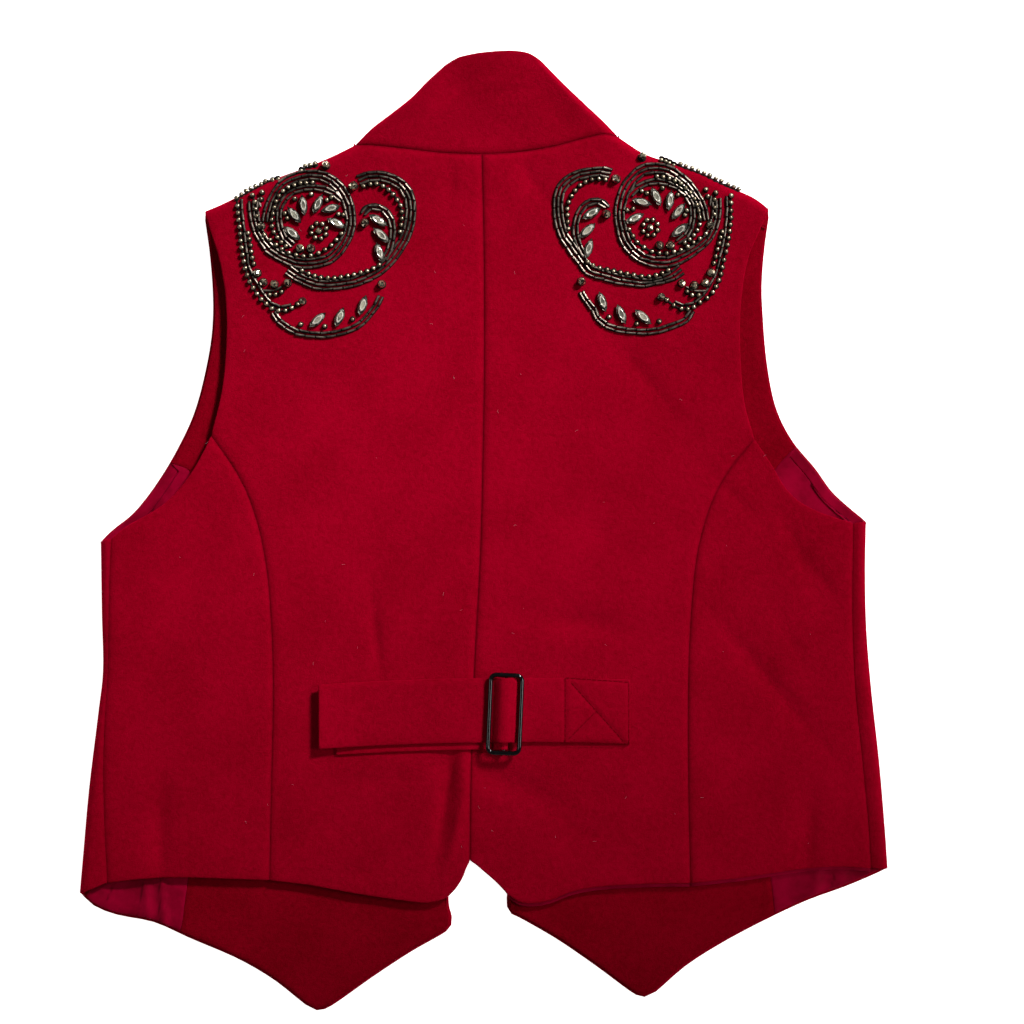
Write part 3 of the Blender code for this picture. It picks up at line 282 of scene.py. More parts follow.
# %% Heights of the two layers
SOFT_LIMIT = 4  # how sharply the height keeps above the least one
NECK_HALF, NECK_UP, COLLAR_UP = 78, (165, 226), (226, 284)  # where the rise at the neck and collar is
# the third number is how far the painted shade beside a seam reaches
SEAM_DIP, SEAM_SPREAD, SEAM_SHADE_REACH = 0.7, 2.0, 1.8  # how deep, how wide, and how wide the mark is
PUCKER = (0.10, 7, 9, 5)  # height, reach beside the seam, wave and seed
UNEVENNESS = [(0.30, 42, 7), (0.09, 15, 8)]  # height, wave and seed
WAVES = 7  # in each ripple
BLOCK = 20000  # places measured at once
LONG_SEAM, SHORT_SEAM = 60, 50  # steps of the seams that the dips follow


def smooth_step(value, low, high):
    """0 up to low, 1 from high on, and 3 s^2 - 2 s^3 for a share s of the way between them."""
    share = np.clip((value - low) / (high - low), 0, 1)
    return share * share * (3 - 2 * share)


def bells(x, y, table):
    """The sum of the table's folds at each place: height * exp(-(along / length)^2 - (across / width)^2)."""
    total = np.zeros(np.shape(x))
    for fold_x, fold_y, length, width, angle, height in table:
        right, up, turn = x - fold_x, y - fold_y, math.radians(angle)
        far_along = (right * math.cos(turn) + up * math.sin(turn)) / length
        far_across = (up * math.cos(turn) - right * math.sin(turn)) / width
        total = total + height * np.exp(-(far_along**2) - far_across**2)
    return total


def ripple(x, y, size, seed):
    """Gentle unevenness: the mean of seven plane waves of about the given length, in seeded directions."""
    draw = np.random.default_rng(seed)
    total = np.zeros(np.shape(x))
    for _ in range(WAVES):
        turn, length, phase = draw.uniform(0, math.tau), size * draw.uniform(0.7, 1.5), draw.uniform(0, 6.3)
        total = total + np.sin(math.tau * (x * math.cos(turn) + y * math.sin(turn)) / length + phase)
    return total / WAVES


def lie(x, y):
    """Height of the upper cloth's outer face away from the folds at the sides and shoulders."""
    middle = np.exp(-((x / NECK_HALF) ** 4))
    height = LIE + NECK_RISE * smooth_step(y, *NECK_UP) * middle + COLLAR_RISE * smooth_step(y, *COLLAR_UP)
    height = height + bells(x, y, FOLDS)
    return LEAST_LIE + np.logaddexp(0, (height - LEAST_LIE) * SOFT_LIMIT) / SOFT_LIMIT


def distance_to(x, y, line):
    """How far each place is from a polyline, worked out in blocks to spare memory."""
    place = np.stack([np.ravel(x), np.ravel(y)], axis=-1)
    start, step = line[:-1], np.diff(line, axis=0)
    length = (step**2).sum(-1)
    far = np.empty(len(place))
    for first in range(0, len(place), BLOCK):
        offset = place[first : first + BLOCK, None, :] - start
        share = np.clip((offset * step).sum(-1) / length, 0, 1)
        far[first : first + BLOCK] = np.sqrt(((offset - share[..., None] * step) ** 2).sum(-1).min(1))
    return far.reshape(np.shape(x))


def edges_of(names):
    """The named edges of both sides."""
    return [side[name] for side in SIDES for name in names]


FOLD_LINES = [smooth_line(edge) for edge in edges_of(("side_fold", "shoulder", "collar_fold"))]
SEAM_LINES = [through(edge, LONG_SEAM) for edge in (CENTRE_BACK, LEFT["neck"][:-1] + RIGHT["neck"][::-1])]
SEAM_LINES += [through(edge, SHORT_SEAM) for edge in edges_of(("princess", "side_seam"))]
# the share at each seam is how dark its painted shade is
SEAM_SHADES = list(zip(SEAM_LINES, (0.80, 0.76, 0.69, 0.50, 0.69, 0.50)))  # how clearly each seam shows


def nearest(x, y, lines):
    """How far each place is from the nearest of the lines."""
    return np.min([distance_to(x, y, line) for line in lines], axis=0)


def rolled(x, y):
    """Share of its full height that the cloth has reached, in from the fold: a quarter of an ellipse."""
    share = np.clip(nearest(x, y, FOLD_LINES) / (FOLD_REACH * lie(x, y)), 0, 1)
    return np.sqrt(1 - (1 - share) ** 2)


def surface_detail(x, y):
    """What the finer cloth adds to the laid height: seam dips, creases and unevenness."""
    seam = nearest(x, y, SEAM_LINES)
    height, reach, wave, seed = PUCKER
    pucker = height * np.exp(-((seam / reach) ** 2)) * ripple(x, y, wave, seed)
    detail = bells(x, y, CREASES) - SEAM_DIP * np.exp(-((seam / SEAM_SPREAD) ** 2)) + pucker
    for height, wave, seed in UNEVENNESS:
        detail = detail + height * ripple(x, y, wave, seed)
    return detail


def upper(plan, share=None):
    """The plan's points on the outer face of the upper cloth. share is known for columns round a fold."""
    x, y = plan[..., 0], plan[..., 1]
    share = rolled(x, y) if share is None else share
    height = lie(x, y)
    middle = FOLD_MIDDLE * height
    return np.stack([x, y, middle + (height - middle) * share + surface_detail(x, y) * share**2], axis=-1)


def lower(plan, share=None):
    """The plan's points on the outer face of the lower cloth, which is flat on the table."""
    x, y = plan[..., 0], plan[..., 1]
    share = rolled(x, y) if share is None else share
    return np.stack([x, y, FOLD_MIDDLE * lie(x, y) * (1 - share)], axis=-1)


print("height beside the belt:", round(float(lie(60.0, -110.0)), 2), "mm")

# %% [markdown]
# ## Cloth as a wall
#
# A piece of cloth is its outer face, an inner face one thickness further in, and a rounded rim that joins
# them. The rim matters: light catches on it, and it is how the eye tells thick wool from paper.

# %% From a grid of points to a wall of cloth
RIM_ROWS = 6
BULGE = 0.32  # how far the rim stands out, as a share of the wall


def turned(faces):
    """The faces seen from the other side."""
    return faces[:, [0, 3, 2, 1]]


def grid_faces(index, flipped=False):
    """The four-sided faces of a grid of point numbers."""
    faces = np.stack([index[:-1, :-1], index[:-1, 1:], index[1:, 1:], index[1:, :-1]], axis=-1).reshape(-1, 4)
    return turned(faces) if flipped else faces


def numbers(grid, first=0, closed=False):
    """A number for each point of a grid, row after row; closed puts the first column at the end again."""
    rows, columns = grid.shape[:2]
    index = first + np.arange(rows * columns).reshape(rows, columns)
    return np.concatenate([index, index[:, :1]], axis=1) if closed else index


def point_normals(points, faces):
    """The mean direction of the faces round each point."""
    corners = points[faces]
    face_normal = np.cross(corners[:, 2] - corners[:, 0], corners[:, 3] - corners[:, 1])
    summed = np.zeros_like(points)
    for corner in range(4):
        np.add.at(summed, faces[:, corner], face_normal)
    return unit(summed, 1e-9)


def rim_of(faces):
    """The edges that only one face uses, each in that face's direction."""
    edges = np.vstack([faces[:, [k, (k + 1) % 4]] for k in range(4)])
    _, where, uses = np.unique(np.sort(edges, axis=1), axis=0, return_inverse=True, return_counts=True)
    return edges[uses[where.reshape(-1)] == 1]


def mesh_piece(name, points, faces, finish, smooth=True):
    """A mesh object at the origin, from points in millimetres and four-sided faces."""
    mesh = bpy.data.meshes.new(name)
    mesh.vertices.add(len(points))
    mesh.vertices.foreach_set("co", (np.asarray(points) * MM).astype(np.float32).ravel())
    mesh.loops.add(faces.size)
    mesh.loops.foreach_set("vertex_index", faces.astype(np.int32).ravel())
    mesh.polygons.add(len(faces))
    mesh.polygons.foreach_set("loop_start", np.arange(0, faces.size, 4, dtype=np.int32))
    mesh.polygons.foreach_set("use_smooth", np.full(len(faces), smooth))
    mesh.update(calc_edges=True)
    mesh.validate()
    mesh.materials.append(finish)
    piece = bpy.data.objects.new(name, mesh)
    bpy.context.scene.collection.objects.link(piece)
    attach(piece, "root")
    return piece


def cloth_wall(name, points, faces, thickness, finish, under=0.0, normals=None, upright=(), bulge=BULGE):
    """A closed wall: outer face, inner face, and a rim carried round half an ellipse between them.

    A rim point at angle a is middle + thickness * (cos(a) / 2 * normal + bulge * sin(a) * outward)."""
    points = points.reshape(-1, 3)
    normals = point_normals(points, faces) if normals is None else normals
    normals[list(upright), 2] = 0
    normals = unit(normals)
    count = len(points)
    outer, inner = points - under * normals, points - (under + thickness) * normals
    edge, ends = rim_of(faces).T
    following, leading, place = np.zeros((3, count), int)
    following[edge], leading[ends], place[edge] = ends, edge, np.arange(len(edge))
    outward = unit(np.cross(outer[following[edge]] - outer[leading[edge]], normals[edge]))
    angles = np.linspace(0, math.pi, RIM_ROWS + 1)[1:-1, None, None]
    middle = (outer[edge] + inner[edge]) / 2
    rows = middle + thickness * (0.5 * np.cos(angles) * normals[edge] + bulge * np.sin(angles) * outward)
    rings = np.vstack([edge, numbers(rows, 2 * count), count + edge])
    after = place[following[edge]]
    strips = [np.stack([a[after], a, b, b[after]], axis=1) for a, b in zip(rings, rings[1:])]
    all_faces = np.vstack([faces, turned(faces) + count, *strips])
    return mesh_piece(name, np.vstack([outer, inner, rows.reshape(-1, 3)]), all_faces, finish)


def cloth(name, solid, *wall, **how):
    """A wall of cloth that takes the place of a solid."""
    piece = cloth_wall(name + "_cloth", *wall, **how)
    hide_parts(solid)
    return piece


def paint_shade_lines(piece, lines=SEAM_SHADES, reach=SEAM_SHADE_REACH):
    """A number at each point, by which the finish paints shade: a line's strength on it, fading to 0 within
    the reach.
    """
    places = np.empty(len(piece.data.vertices) * 3, np.float32)
    piece.data.vertices.foreach_get("co", places)
    x, y = (places.reshape(-1, 3)[:, :2] / MM).T
    strengths = [share * np.clip(1 - distance_to(x, y, line) / reach, 0, 1) for line, share in lines]
    marks = piece.data.attributes.new("painted_shade", "FLOAT", "POINT")
    marks.data.foreach_set("value", np.max(strengths, axis=0).astype(np.float32))


# %% [markdown]
# ## Shader maths as Python
#
# A finish is a small graph of nodes. The class below wraps an output socket, so that `a * 0.4 + b` adds the
# Math nodes by itself, and one method makes every other node. Colours go through Mix nodes.

# %% A small shader language
def math_node(operation, swapped=False):
    """A method that joins a wire and another value by a Math node."""

    def method(self, other):
        pair = (other, self) if swapped else (self, other)
        return self.finish.node("ShaderNodeMath", pair, operation=operation)

    return method


class Wire:
    """An output socket that understands + - * and powers."""

    def __init__(self, finish, socket):
        self.finish, self.socket = finish, socket

    __add__ = __radd__ = math_node("ADD")
    __mul__ = __rmul__ = math_node("MULTIPLY")
    __sub__, __rsub__, __pow__ = math_node("SUBTRACT"), math_node("SUBTRACT", True), math_node("POWER")

    def above(self, low, high):
        """0 below low, 1 above high, smooth between."""
        inputs = {"Value": self, "From Min": low, "From Max": high}
        return self.finish.node("ShaderNodeMapRange", inputs, interpolation_type="SMOOTHSTEP")


class Finish:
    """A node material. Its fixed numbers are set on the shader's own sockets."""

    def __init__(self, name, slot, **fixed):
        self.material = bpy.data.materials.new(name)
        self.material.use_nodes = True
        self.material["slot"] = slot
        self.tree = self.material.node_tree
        self.shader = self.tree.nodes["Principled BSDF"]
        for socket, value in fixed.items():
            self.shader.inputs[socket.replace("_", " ")].default_value = value

    def node(self, kind, inputs, output=0, **settings):
        """A new node with its settings and inputs, as the wire of one of its outputs."""
        made = self.tree.nodes.new(kind)
        for key, value in settings.items():
            setattr(made, key, value)
        for socket, value in inputs.items() if isinstance(inputs, dict) else enumerate(inputs):
            if isinstance(value, Wire):
                self.tree.links.new(value.socket, made.inputs[socket])
            else:
                made.inputs[socket].default_value = value
        return Wire(self, made.outputs[output])

    def mix(self, factor, first, second):
        """A colour between two colours; a colour may be three numbers."""
        first, second = (one if isinstance(one, Wire) else (*one, 1) for one in (first, second))
        return self.node("ShaderNodeMix", {0: factor, 6: first, 7: second}, output=2, data_type="RGBA")

    def mark(self, name):
        """The number that the mesh holds at each point under this name."""
        return self.node("ShaderNodeAttribute", {}, output=2, attribute_name=name)

    def place(self, scale=(1, 1, 1), turn=0.0):
        """Place on the object in metres, stretched and turned."""
        spot = self.node("ShaderNodeTexCoord", {}, output=3)
        return self.node("ShaderNodeMapping", {"Vector": spot, "Scale": scale, "Rotation": (0, 0, turn)})

    def noise(self, scale, detail, roughness, spot=None, distortion=0.0):
        """A cloudy pattern from 0 to 1."""
        inputs = {"Vector": spot or self.place(), "Scale": scale, "Detail": detail, "Roughness": roughness}
        return self.node("ShaderNodeTexNoise", {**inputs, "Distortion": distortion})

    def bump(self, height, distance, strength):
        """Small relief for the shader's Normal."""
        return self.node("ShaderNodeBump", {"Height": height, "Distance": distance, "Strength": strength})

    def glint_cells(self, scale, low, high):
        """One number for each cell of a pattern, pushed towards 0 or 1: used for painted glints."""
        cells = self.node("ShaderNodeTexVoronoi", {"Vector": self.place(), "Scale": scale}, output=1)
        return self.node("ShaderNodeSeparateColor", {0: cells}).above(low, high)

    def wear(self, **sockets):
        """Join wires to the shader's sockets and give the finished material."""
        for socket, wire in sockets.items():
            self.tree.links.new(wire.socket, self.shader.inputs[socket.replace("_", " ")])
        return self.material


print("shader language ready")

# %% [markdown]
# ## Felted wool
#
# Melton is woven, then milled until the fibres hide the weave. From arm's length it is one deep, dry red.
# Close to, short fibres lie every way and the dye is slightly uneven. So the colour varies softly at three
# sizes, the bump is a fine tangle stretched two ways with small lumps in it, and a sheen lifts the edges as
# the nap does.

# %% The wool
FIBRES = [(1500, (1, 0.45, 1), 0.7), (1300, (0.45, 1, 1), -0.5)]  # scale, stretch and turn of each half


def felted(name, deep, light, sheen=0.35):
    """Wool: deep between the fibres, light on them, and darker still with painted shade along the seams."""
    dyed = Finish(
        name, "wool", Roughness=0.95, Sheen_Weight=sheen, Sheen_Roughness=0.4, Sheen_Tint=(1.0, 0.0, 0.06, 1),
        Specular_IOR_Level=0.0,
    )
    halves = [dyed.noise(scale, 6, 0.72, dyed.place(way, turn)) * 0.5 for scale, way, turn in FIBRES]
    tangle = halves[0] + halves[1]
    lumps = dyed.noise(330, 5, 0.6, distortion=0.6)
    cloud = dyed.noise(26, 3, 0.55)
    shade = (tangle * 0.42 + lumps * 0.33 + cloud * 0.25).above(0.34, 0.66)
    wool = dyed.mix(shade, deep, light)
    # painted shade: the wool turns near black along the seams, where their grooves lie in shade
    colour = dyed.mix(dyed.mark("painted_shade") ** 2.2 * 0.92, wool, (0.020, 0.0001, 0.0016))
    return dyed.wear(Base_Color=colour, Normal=dyed.bump(tangle * 0.62 + lumps * 0.38, 0.0011, 0.75))


WOOL_CLOTH = felted("wool_face", (0.265, 0.0003, 0.0085), (0.415, 0.0005, 0.0175))
# a darker copy of the face wool, with less sheen: painted shade for the facings inside the fronts
WOOL_INSIDE_SHADED = felted("wool_inside_shaded", (0.20, 0.0003, 0.0055), (0.32, 0.0004, 0.0115), sheen=0.15)
print("wool finishes:", WOOL_CLOTH.name, WOOL_INSIDE_SHADED.name)

# %% [markdown]
# ## Lining
#
# The lining is a raspberry taffeta: smoother than wool, with a fine rib and a soft shine.

# %% The lining
RIBS = [("X", 420), ("Y", 520)]  # direction and scale of the warp and the weft


def taffeta():
    """Taffeta: two crossed ribs under a soft sheen, and painted shade where a pleat folds over."""
    dyed = Finish(
        "lining_taffeta", "satin", Roughness=0.46, Sheen_Weight=0.25, Sheen_Roughness=0.4,
        Sheen_Tint=(1.0, 0.02, 0.2, 1), Specular_IOR_Level=0.015,
    )
    wave = {"Vector": dyed.place(), "Distortion": 1.5, "Detail": 2.0}
    warp, weft = (
        dyed.node("ShaderNodeTexWave", {**wave, "Scale": scale}, output=1, bands_direction=way)
        for way, scale in RIBS
    )
    colour = dyed.mix(dyed.noise(60, 4, 0.6).above(0.3, 0.7), (0.22, 0.0005, 0.014), (0.39, 0.0008, 0.028))
    # painted shade: the lining turns near black along the lines where a pleat folds over
    colour = dyed.mix(dyed.mark("painted_shade") ** 2 * 0.85, colour, (0.02, 0.0001, 0.0015))
    return dyed.wear(Base_Color=colour, Normal=dyed.bump(warp * 0.5 + weft * 0.5, 0.00008, 0.6))


LINING_CLOTH = taffeta()
print("lining finish:", LINING_CLOTH.name)

# %% [markdown]
# ## The backs
#
# Each back runs from the centre seam to the curved princess seam, and over the shoulder fold to the shoulder
# seam. Its last rows are at even angles round the fold, so the roll stays smooth. The side panels fill the
# rest, and a lining made from the same plan lies a hair's breadth under each.

# %% Backs, side backs and their linings
PRINCESS_ROWS, ARMHOLE_ROWS, NOTCH_ROWS = 112, 56, 16
SHOULDER_COLUMNS, NECK_COLUMNS, SIDE_BACK_COLUMNS = 42, 30, 42
ON_SHOULDER = slice(SHOULDER_COLUMNS + 1)
TURNING_COLUMNS, EASED_ROWS, SEAM_STEPS = 16, 12, 900
ROLL_ANGLES = np.radians(np.linspace(80, 0, 9))
ROLL = len(ROLL_ANGLES)
SEAM_IN = 0.3  # the rims stand out a little further, so that the two cloths press on each other
LINING_DROP, DROP_ROWS = {"left": -1.2, "right": 2.3}, 3.0  # how far the hem is let down, over how many rows
INSIDE = {  # a place within each piece of the right side, so that inset knows which way inwards is
    "back": (70, 0), "side_back": (175, -100), "front": (110, -60), "facing": (90, -60), "lining": (205, -90),
}


def inside(side, part):
    """The place within a piece of this side."""
    x, y = INSIDE[part]
    return side["sign"] * x, y


def from_fold(curve, fold, count):
    """A seam that starts on a fold: points round the fold, then count more at equal steps."""
    fine = through(curve, SEAM_STEPS)
    far = distance_to(fine[:, 0], fine[:, 1], fold)
    reach = FOLD_REACH * float(lie(fine[0, 0], fine[0, 1]))
    angles = (*ROLL_ANGLES[-2::-1], math.pi / 2)
    picks = [int(np.argmax(far >= reach * (1 - math.cos(angle)))) for angle in angles]
    return np.vstack([fine[0], fine[picks[:-1]], along(fine[picks[-1] :], count)])


def neck_seam(side, edge):
    """A neck seam of one side, from the fold to the centre."""
    return from_fold(side[edge], smooth_line(side["collar_fold"]), NECK_COLUMNS)


def roll_lines(flat, edge):
    """Lines at even angles round a fold, from where the cloth is flat out to the edge."""
    return np.stack([flat + (edge - flat) * math.cos(angle) for angle in ROLL_ANGLES])


def ease_end(line, end, count=EASED_ROWS):
    """Bring the line's last points onto a straight way to a new end."""
    line[-count:] = np.linspace(line[-count], end, count)


def below_fold(top):
    """Where the cloth is flat again below the shoulder fold: square to the fold, but turning to
    straight down near the collar, so that the columns never cross."""
    step = np.gradient(top[ON_SHOULDER], axis=0)
    lean = np.zeros(len(top))
    lean[ON_SHOULDER] = np.arctan2(step[:, 1], np.abs(step[:, 0]))
    lean *= 1 - smooth_step(np.arange(len(top)), SHOULDER_COLUMNS - TURNING_COLUMNS, SHOULDER_COLUMNS)
    sign = np.sign(top[-1, 0] - top[0, 0])
    return top + REACH * np.stack([sign * np.sin(lean), -np.cos(lean)], axis=1)


def wool_panel(name, points, faces, on_fold=()):
    """A panel of the wool, with painted shade along its seams."""
    piece = cloth(name, name, points, faces, WOOL, WOOL_CLOTH, upright=on_fold)
    paint_shade_lines(piece)


def lining_under(name, plan, side, rows):
    """Lining from the panel's own plan at half its points, with the hem drawn in or let down."""
    flipped = side["sign"] > 0
    plan = plan.copy()
    plan[:, :, 1] -= LINING_DROP[side["name"]] * np.exp(-np.arange(len(plan)) / DROP_ROWS)[:, None]
    thin = plan[::2, ::2]
    index = numbers(thin)
    points = upper(thin).reshape(-1, 3)
    normals = point_normals(points, grid_faces(index, flipped))
    kept = index[:rows]
    faces, shown = grid_faces(kept, flipped), slice(kept.size)
    piece = cloth(name, name, points[shown], faces, LINING, LINING_CLOTH, WOOL + SEAM_GAP, normals[shown])


def back(side):
    """One back and its lining."""
    middle = inside(side, "back")
    princess = inset(through(side["princess"], PRINCESS_ROWS), SEAM_IN, middle)
    outer_edge = joined(princess, through(side["armhole_back"], ARMHOLE_ROWS))
    seam = inset(through(CENTRE_BACK, PRINCESS_ROWS + ARMHOLE_ROWS - NOTCH_ROWS), SEAM_IN, middle)
    centre = np.vstack([through(side["notch"], NOTCH_ROWS)[:-1], seam])
    shoulder_line = through(side["shoulder"], SHOULDER_COLUMNS)
    top = joined(shoulder_line, inset(neck_seam(side, "neck"), SEAM_IN, middle))
    bottom = through(side["hem_back"], len(top) - 1)
    bottom[0], top[-1] = outer_edge[0], centre[-1]
    flat_top = below_fold(top)
    flat_top[0] = outer_edge[-1] + REACH * unit(outer_edge[-2] - outer_edge[-1])
    ease_end(outer_edge, flat_top[0])
    ease_end(centre, flat_top[-1])
    flat = patch(bottom, flat_top, outer_edge, centre)
    plan = np.concatenate([flat, roll_lines(flat[-1], top)])
    index = numbers(plan)
    points = upper(plan)
    points[-1, ON_SHOULDER, 2] += SEAM_GAP
    faces = grid_faces(index, side["sign"] > 0)
    name = side["name"]
    wool_panel("back_" + name, points, faces, index[-1, ON_SHOULDER])
    lining_under("back_lining_" + name, plan, side, -(ROLL // 2 + 1))


def side_back(side):
    """One side panel and its lining."""
    name, middle = side["name"], inside(side, "side_back")
    seam, princess = (through(side[edge], PRINCESS_ROWS) for edge in ("side_seam", "princess"))
    seam, princess = inset(seam, SEAM_IN, middle), inset(princess, SEAM_IN, middle)
    bottom, top = (through(side[edge], SIDE_BACK_COLUMNS) for edge in ("hem_side", "armhole_side"))
    bottom[0], bottom[-1], top[0], top[-1] = seam[0], princess[0], seam[-1], princess[-1]
    plan = patch(bottom, top, seam, princess)
    faces = grid_faces(numbers(plan), side["sign"] > 0)
    wool_panel("side_back_" + name, upper(plan), faces)
    lining_under("side_lining_" + name, plan, side, None)


for side in SIDES:
    back(side)
    side_back(side)

# %% [markdown]
# ## The fronts
#
# A front is flat on the table. Near the shoulder it rolls up to its seam, and along the side it wraps round
# the fold and lies on top for a finger's width, up to the side seam.

# %% Front wool
SIDE_ROWS, ARM_ROWS = PRINCESS_ROWS, 70
FAR_UP = (0, 500)  # a place above every curve, to name a curve's upper end by
EASED_COLUMNS = 8  # at the shoulder's end of the armhole
WRAP_LIMIT, WRAP_SHARES = 0.8, (0.25, 0.5, 0.75, 1.0)  # of its width: the rolled columns' most, the rest


def hem_part(side, start, count):
    """The front's hem from near a place inwards to the first point of its tip."""
    return between(side["hem_front"] + side["hem_tip"][1:], start, side["hem_tip"][1], count)


def wrap_round(fold, flat, seam):
    """Columns from where the front is flat, under the side fold, over it, and in to the side seam."""
    across = seam - fold
    width = np.linalg.norm(across, axis=1)
    shares = np.linspace(0, 1, ROLL + 1)[1:]
    over = []
    for angle, share in zip((*ROLL_ANGLES[-2::-1], math.pi / 2), shares):
        step = np.minimum(REACH * (1 - math.cos(angle)), width * WRAP_LIMIT * share)
        over.append(fold + across * (step / width)[:, None])
    over += [over[-1] + (seam - over[-1]) * share for share in WRAP_SHARES]
    under_fold = roll_lines(flat, fold).swapaxes(0, 1)
    return np.concatenate([lower(under_fold), upper(np.stack(over, axis=1))], axis=1), width


def front(side):
    """One front: the flat part, the rows that roll up to the shoulder, and the wrap round the side."""
    middle = inside(side, "front")
    fold = through(side["side_fold"], SIDE_ROWS)
    edge = side["armhole_front"]
    armhole = between(edge, edge[0] + np.array([0, REACH]), FAR_UP, ARM_ROWS)
    flat_edge = inset(fold, REACH, middle)
    flat_edge[-1] = armhole[0]
    outer_hem = hem_part(side, flat_edge[0], SHOULDER_COLUMNS // 2)
    flat_edge[0] = outer_hem[0]
    ease_end(armhole, armhole[-1] - (0, REACH), EASED_COLUMNS)
    outer = joined(flat_edge, armhole)
    shoulder_line = through(side["shoulder"], SHOULDER_COLUMNS)
    neck = inset(neck_seam(side, "front_neck"), SEAM_IN, middle)
    shoulder_line[-1] = neck[0]
    flat_neck = neck[ROLL:]
    front_edge = through(side["front_edge"], len(outer) - len(flat_neck))
    front_edge[-1] = flat_neck[-1]
    centre = joined(front_edge, flat_neck[::-1])
    flat_top = below_fold(shoulder_line)
    flat_top[0], flat_top[-1] = outer[-1], centre[-1]
    bottom = joined(outer_hem, through(side["hem_tip"][1:], SHOULDER_COLUMNS - SHOULDER_COLUMNS // 2))
    flat = patch(bottom, flat_top, outer, centre)
    plan = np.concatenate([flat, roll_lines(flat[-1], shoulder_line)])
    plan[-ROLL:, -1] = neck[:ROLL][::-1]
    points = lower(plan)
    points[-1, ON_SHOULDER, 2] -= SEAM_GAP
    seam = inset(through(side["side_seam"], SIDE_ROWS), -SEAM_IN, middle)
    wrap, width = wrap_round(fold, plan[: SIDE_ROWS + 1, 0], seam)
    index = numbers(plan)
    wrap_index = numbers(wrap, index.size)
    side_index = np.concatenate([wrap_index[:, ::-1], index[: SIDE_ROWS + 1, :1]], axis=1)
    faces = np.vstack([grid_faces(part, side["sign"] < 0) for part in (index, side_index)])
    points = np.vstack([points.reshape(-1, 3), wrap.reshape(-1, 3)])
    wool_panel("front_" + side["name"], points, faces, index[-1, ON_SHOULDER])


for side in SIDES:
    front(side)

# %% [markdown]
# ## Inside the fronts
#
# A wide wool facing stiffens each front from the centre, and the lining joins it. Both show at the armholes
# and below the back's hem. A narrow band of the same taffeta finishes the armhole's edge.

# %% Facings, front linings and armhole bands
FROM_FOLD, BAND_IN, HEM_IN, EDGE_IN, NECK_IN = 12.0, 7.0, 1.5, 1.0, 2.0
SHEET_BULGE, BAND_BULGE, EASED_ARM = 0.25, 0.3, 6
# the pleats' lines below are painted shade
PLEAT_SHADE, PLEAT_REACH = 0.9, 1.5  # how dark and how wide a pleat's shaded line is
BAND_INSETS = np.linspace(0.6, BAND_IN - 0.8, 7)
FACING_COLUMNS, LINING_COLUMNS, BAND_STEPS = 60, 36, 60
LINING_PLEATS = {  # (middle, half width, height)
    "left": [(-192.4, 2.2, 1.8), (-202.3, 2.0, 1.5), (-226, 4, 0.9)],
    "right": [(199, 3.4, 1.0), (214, 4.5, 0.9)],
}
PLEAT_SHADE_LINES = {  # the shaded lines where a pleat folds over
    "left": [
        ((-194.2, -205), (-195.2, -238)), ((-202.6, -206), (-208.6, -232)), ((-222, -213), (-226.5, -223)),
    ],
    "right": [((211, -208), (207.5, -222))],
}
PLEAT_SLANT, PLEAT_LOW, PLEATS_FADE = 0.08, -225, (60, 190)  # lean, where the middles are measured, fading
FACING_WAVE, LINING_WAVE = (34, 12), (22, 14)  # length and seed of the ripples
FACING_LIFT, LINING_LIFT, LINING_RIPPLE, LEAST_LIFT = 0.22, 0.5, 0.35, 0.05  # off the cloth below


def on_wool(plan, lift):
    """Points on the inner face of the front's wool, raised by lift."""
    points = lower(plan)
    points[..., 2] += lift
    return points.reshape(-1, 3)


def inside_sheet(name, plan, side, thickness, finish, lift, shade_lines=()):
    """A facing or lining on the wool of one front."""
    name += side["name"]
    top = on_wool(plan, WOOL + SEAM_GAP + thickness + lift)
    faces = grid_faces(numbers(plan), side["sign"] > 0)
    piece = cloth(name, name, top, faces, thickness, finish, bulge=SHEET_BULGE)
    # painted shade along the pleats' lines
    if shade_lines:
        paint_shade_lines(piece, [(np.array(gap, float), PLEAT_SHADE) for gap in shade_lines], PLEAT_REACH)


def front_facing(side):
    """The facing of one front, and the line where it meets the lining."""
    middle = inside(side, "facing")
    facing_line = through(side["facing_edge"], SIDE_ROWS)
    armhole = between(side["armhole_front"], facing_line[-1], FAR_UP, ARM_ROWS)
    ease_end(armhole, armhole[-1] - (0, FROM_FOLD), EASED_ARM)
    outer = joined(facing_line, inset(armhole, EDGE_IN, middle))
    half = FACING_COLUMNS // 2
    hem = joined(hem_part(side, facing_line[0], half), through(side["hem_tip"][1:], FACING_COLUMNS - half))
    bottom = inset(hem, HEM_IN, middle)
    top = inset(through(side["shoulder"], FACING_COLUMNS), FROM_FOLD, middle)
    neck = inset(neck_seam(side, "front_neck")[ROLL:], NECK_IN, middle)
    neck[0] = neck[0] + (side["sign"], -FROM_FOLD / 2)
    centre = inset(through(side["front_edge"], len(outer) - len(neck)), EDGE_IN, middle)
    centre[-1] = neck[-1]
    centre = joined(centre, neck[::-1])
    outer[0], centre[0], top[0], top[-1] = bottom[0], bottom[-1], outer[-1], centre[-1]
    plan = patch(bottom, top, outer, centre)
    wave = FACING_LIFT * (1 + ripple(plan[..., 0], plan[..., 1], *FACING_WAVE))
    inside_sheet("front_facing_", plan, side, FACING, WOOL_INSIDE_SHADED, wave)
    return outer[: SIDE_ROWS + 1]


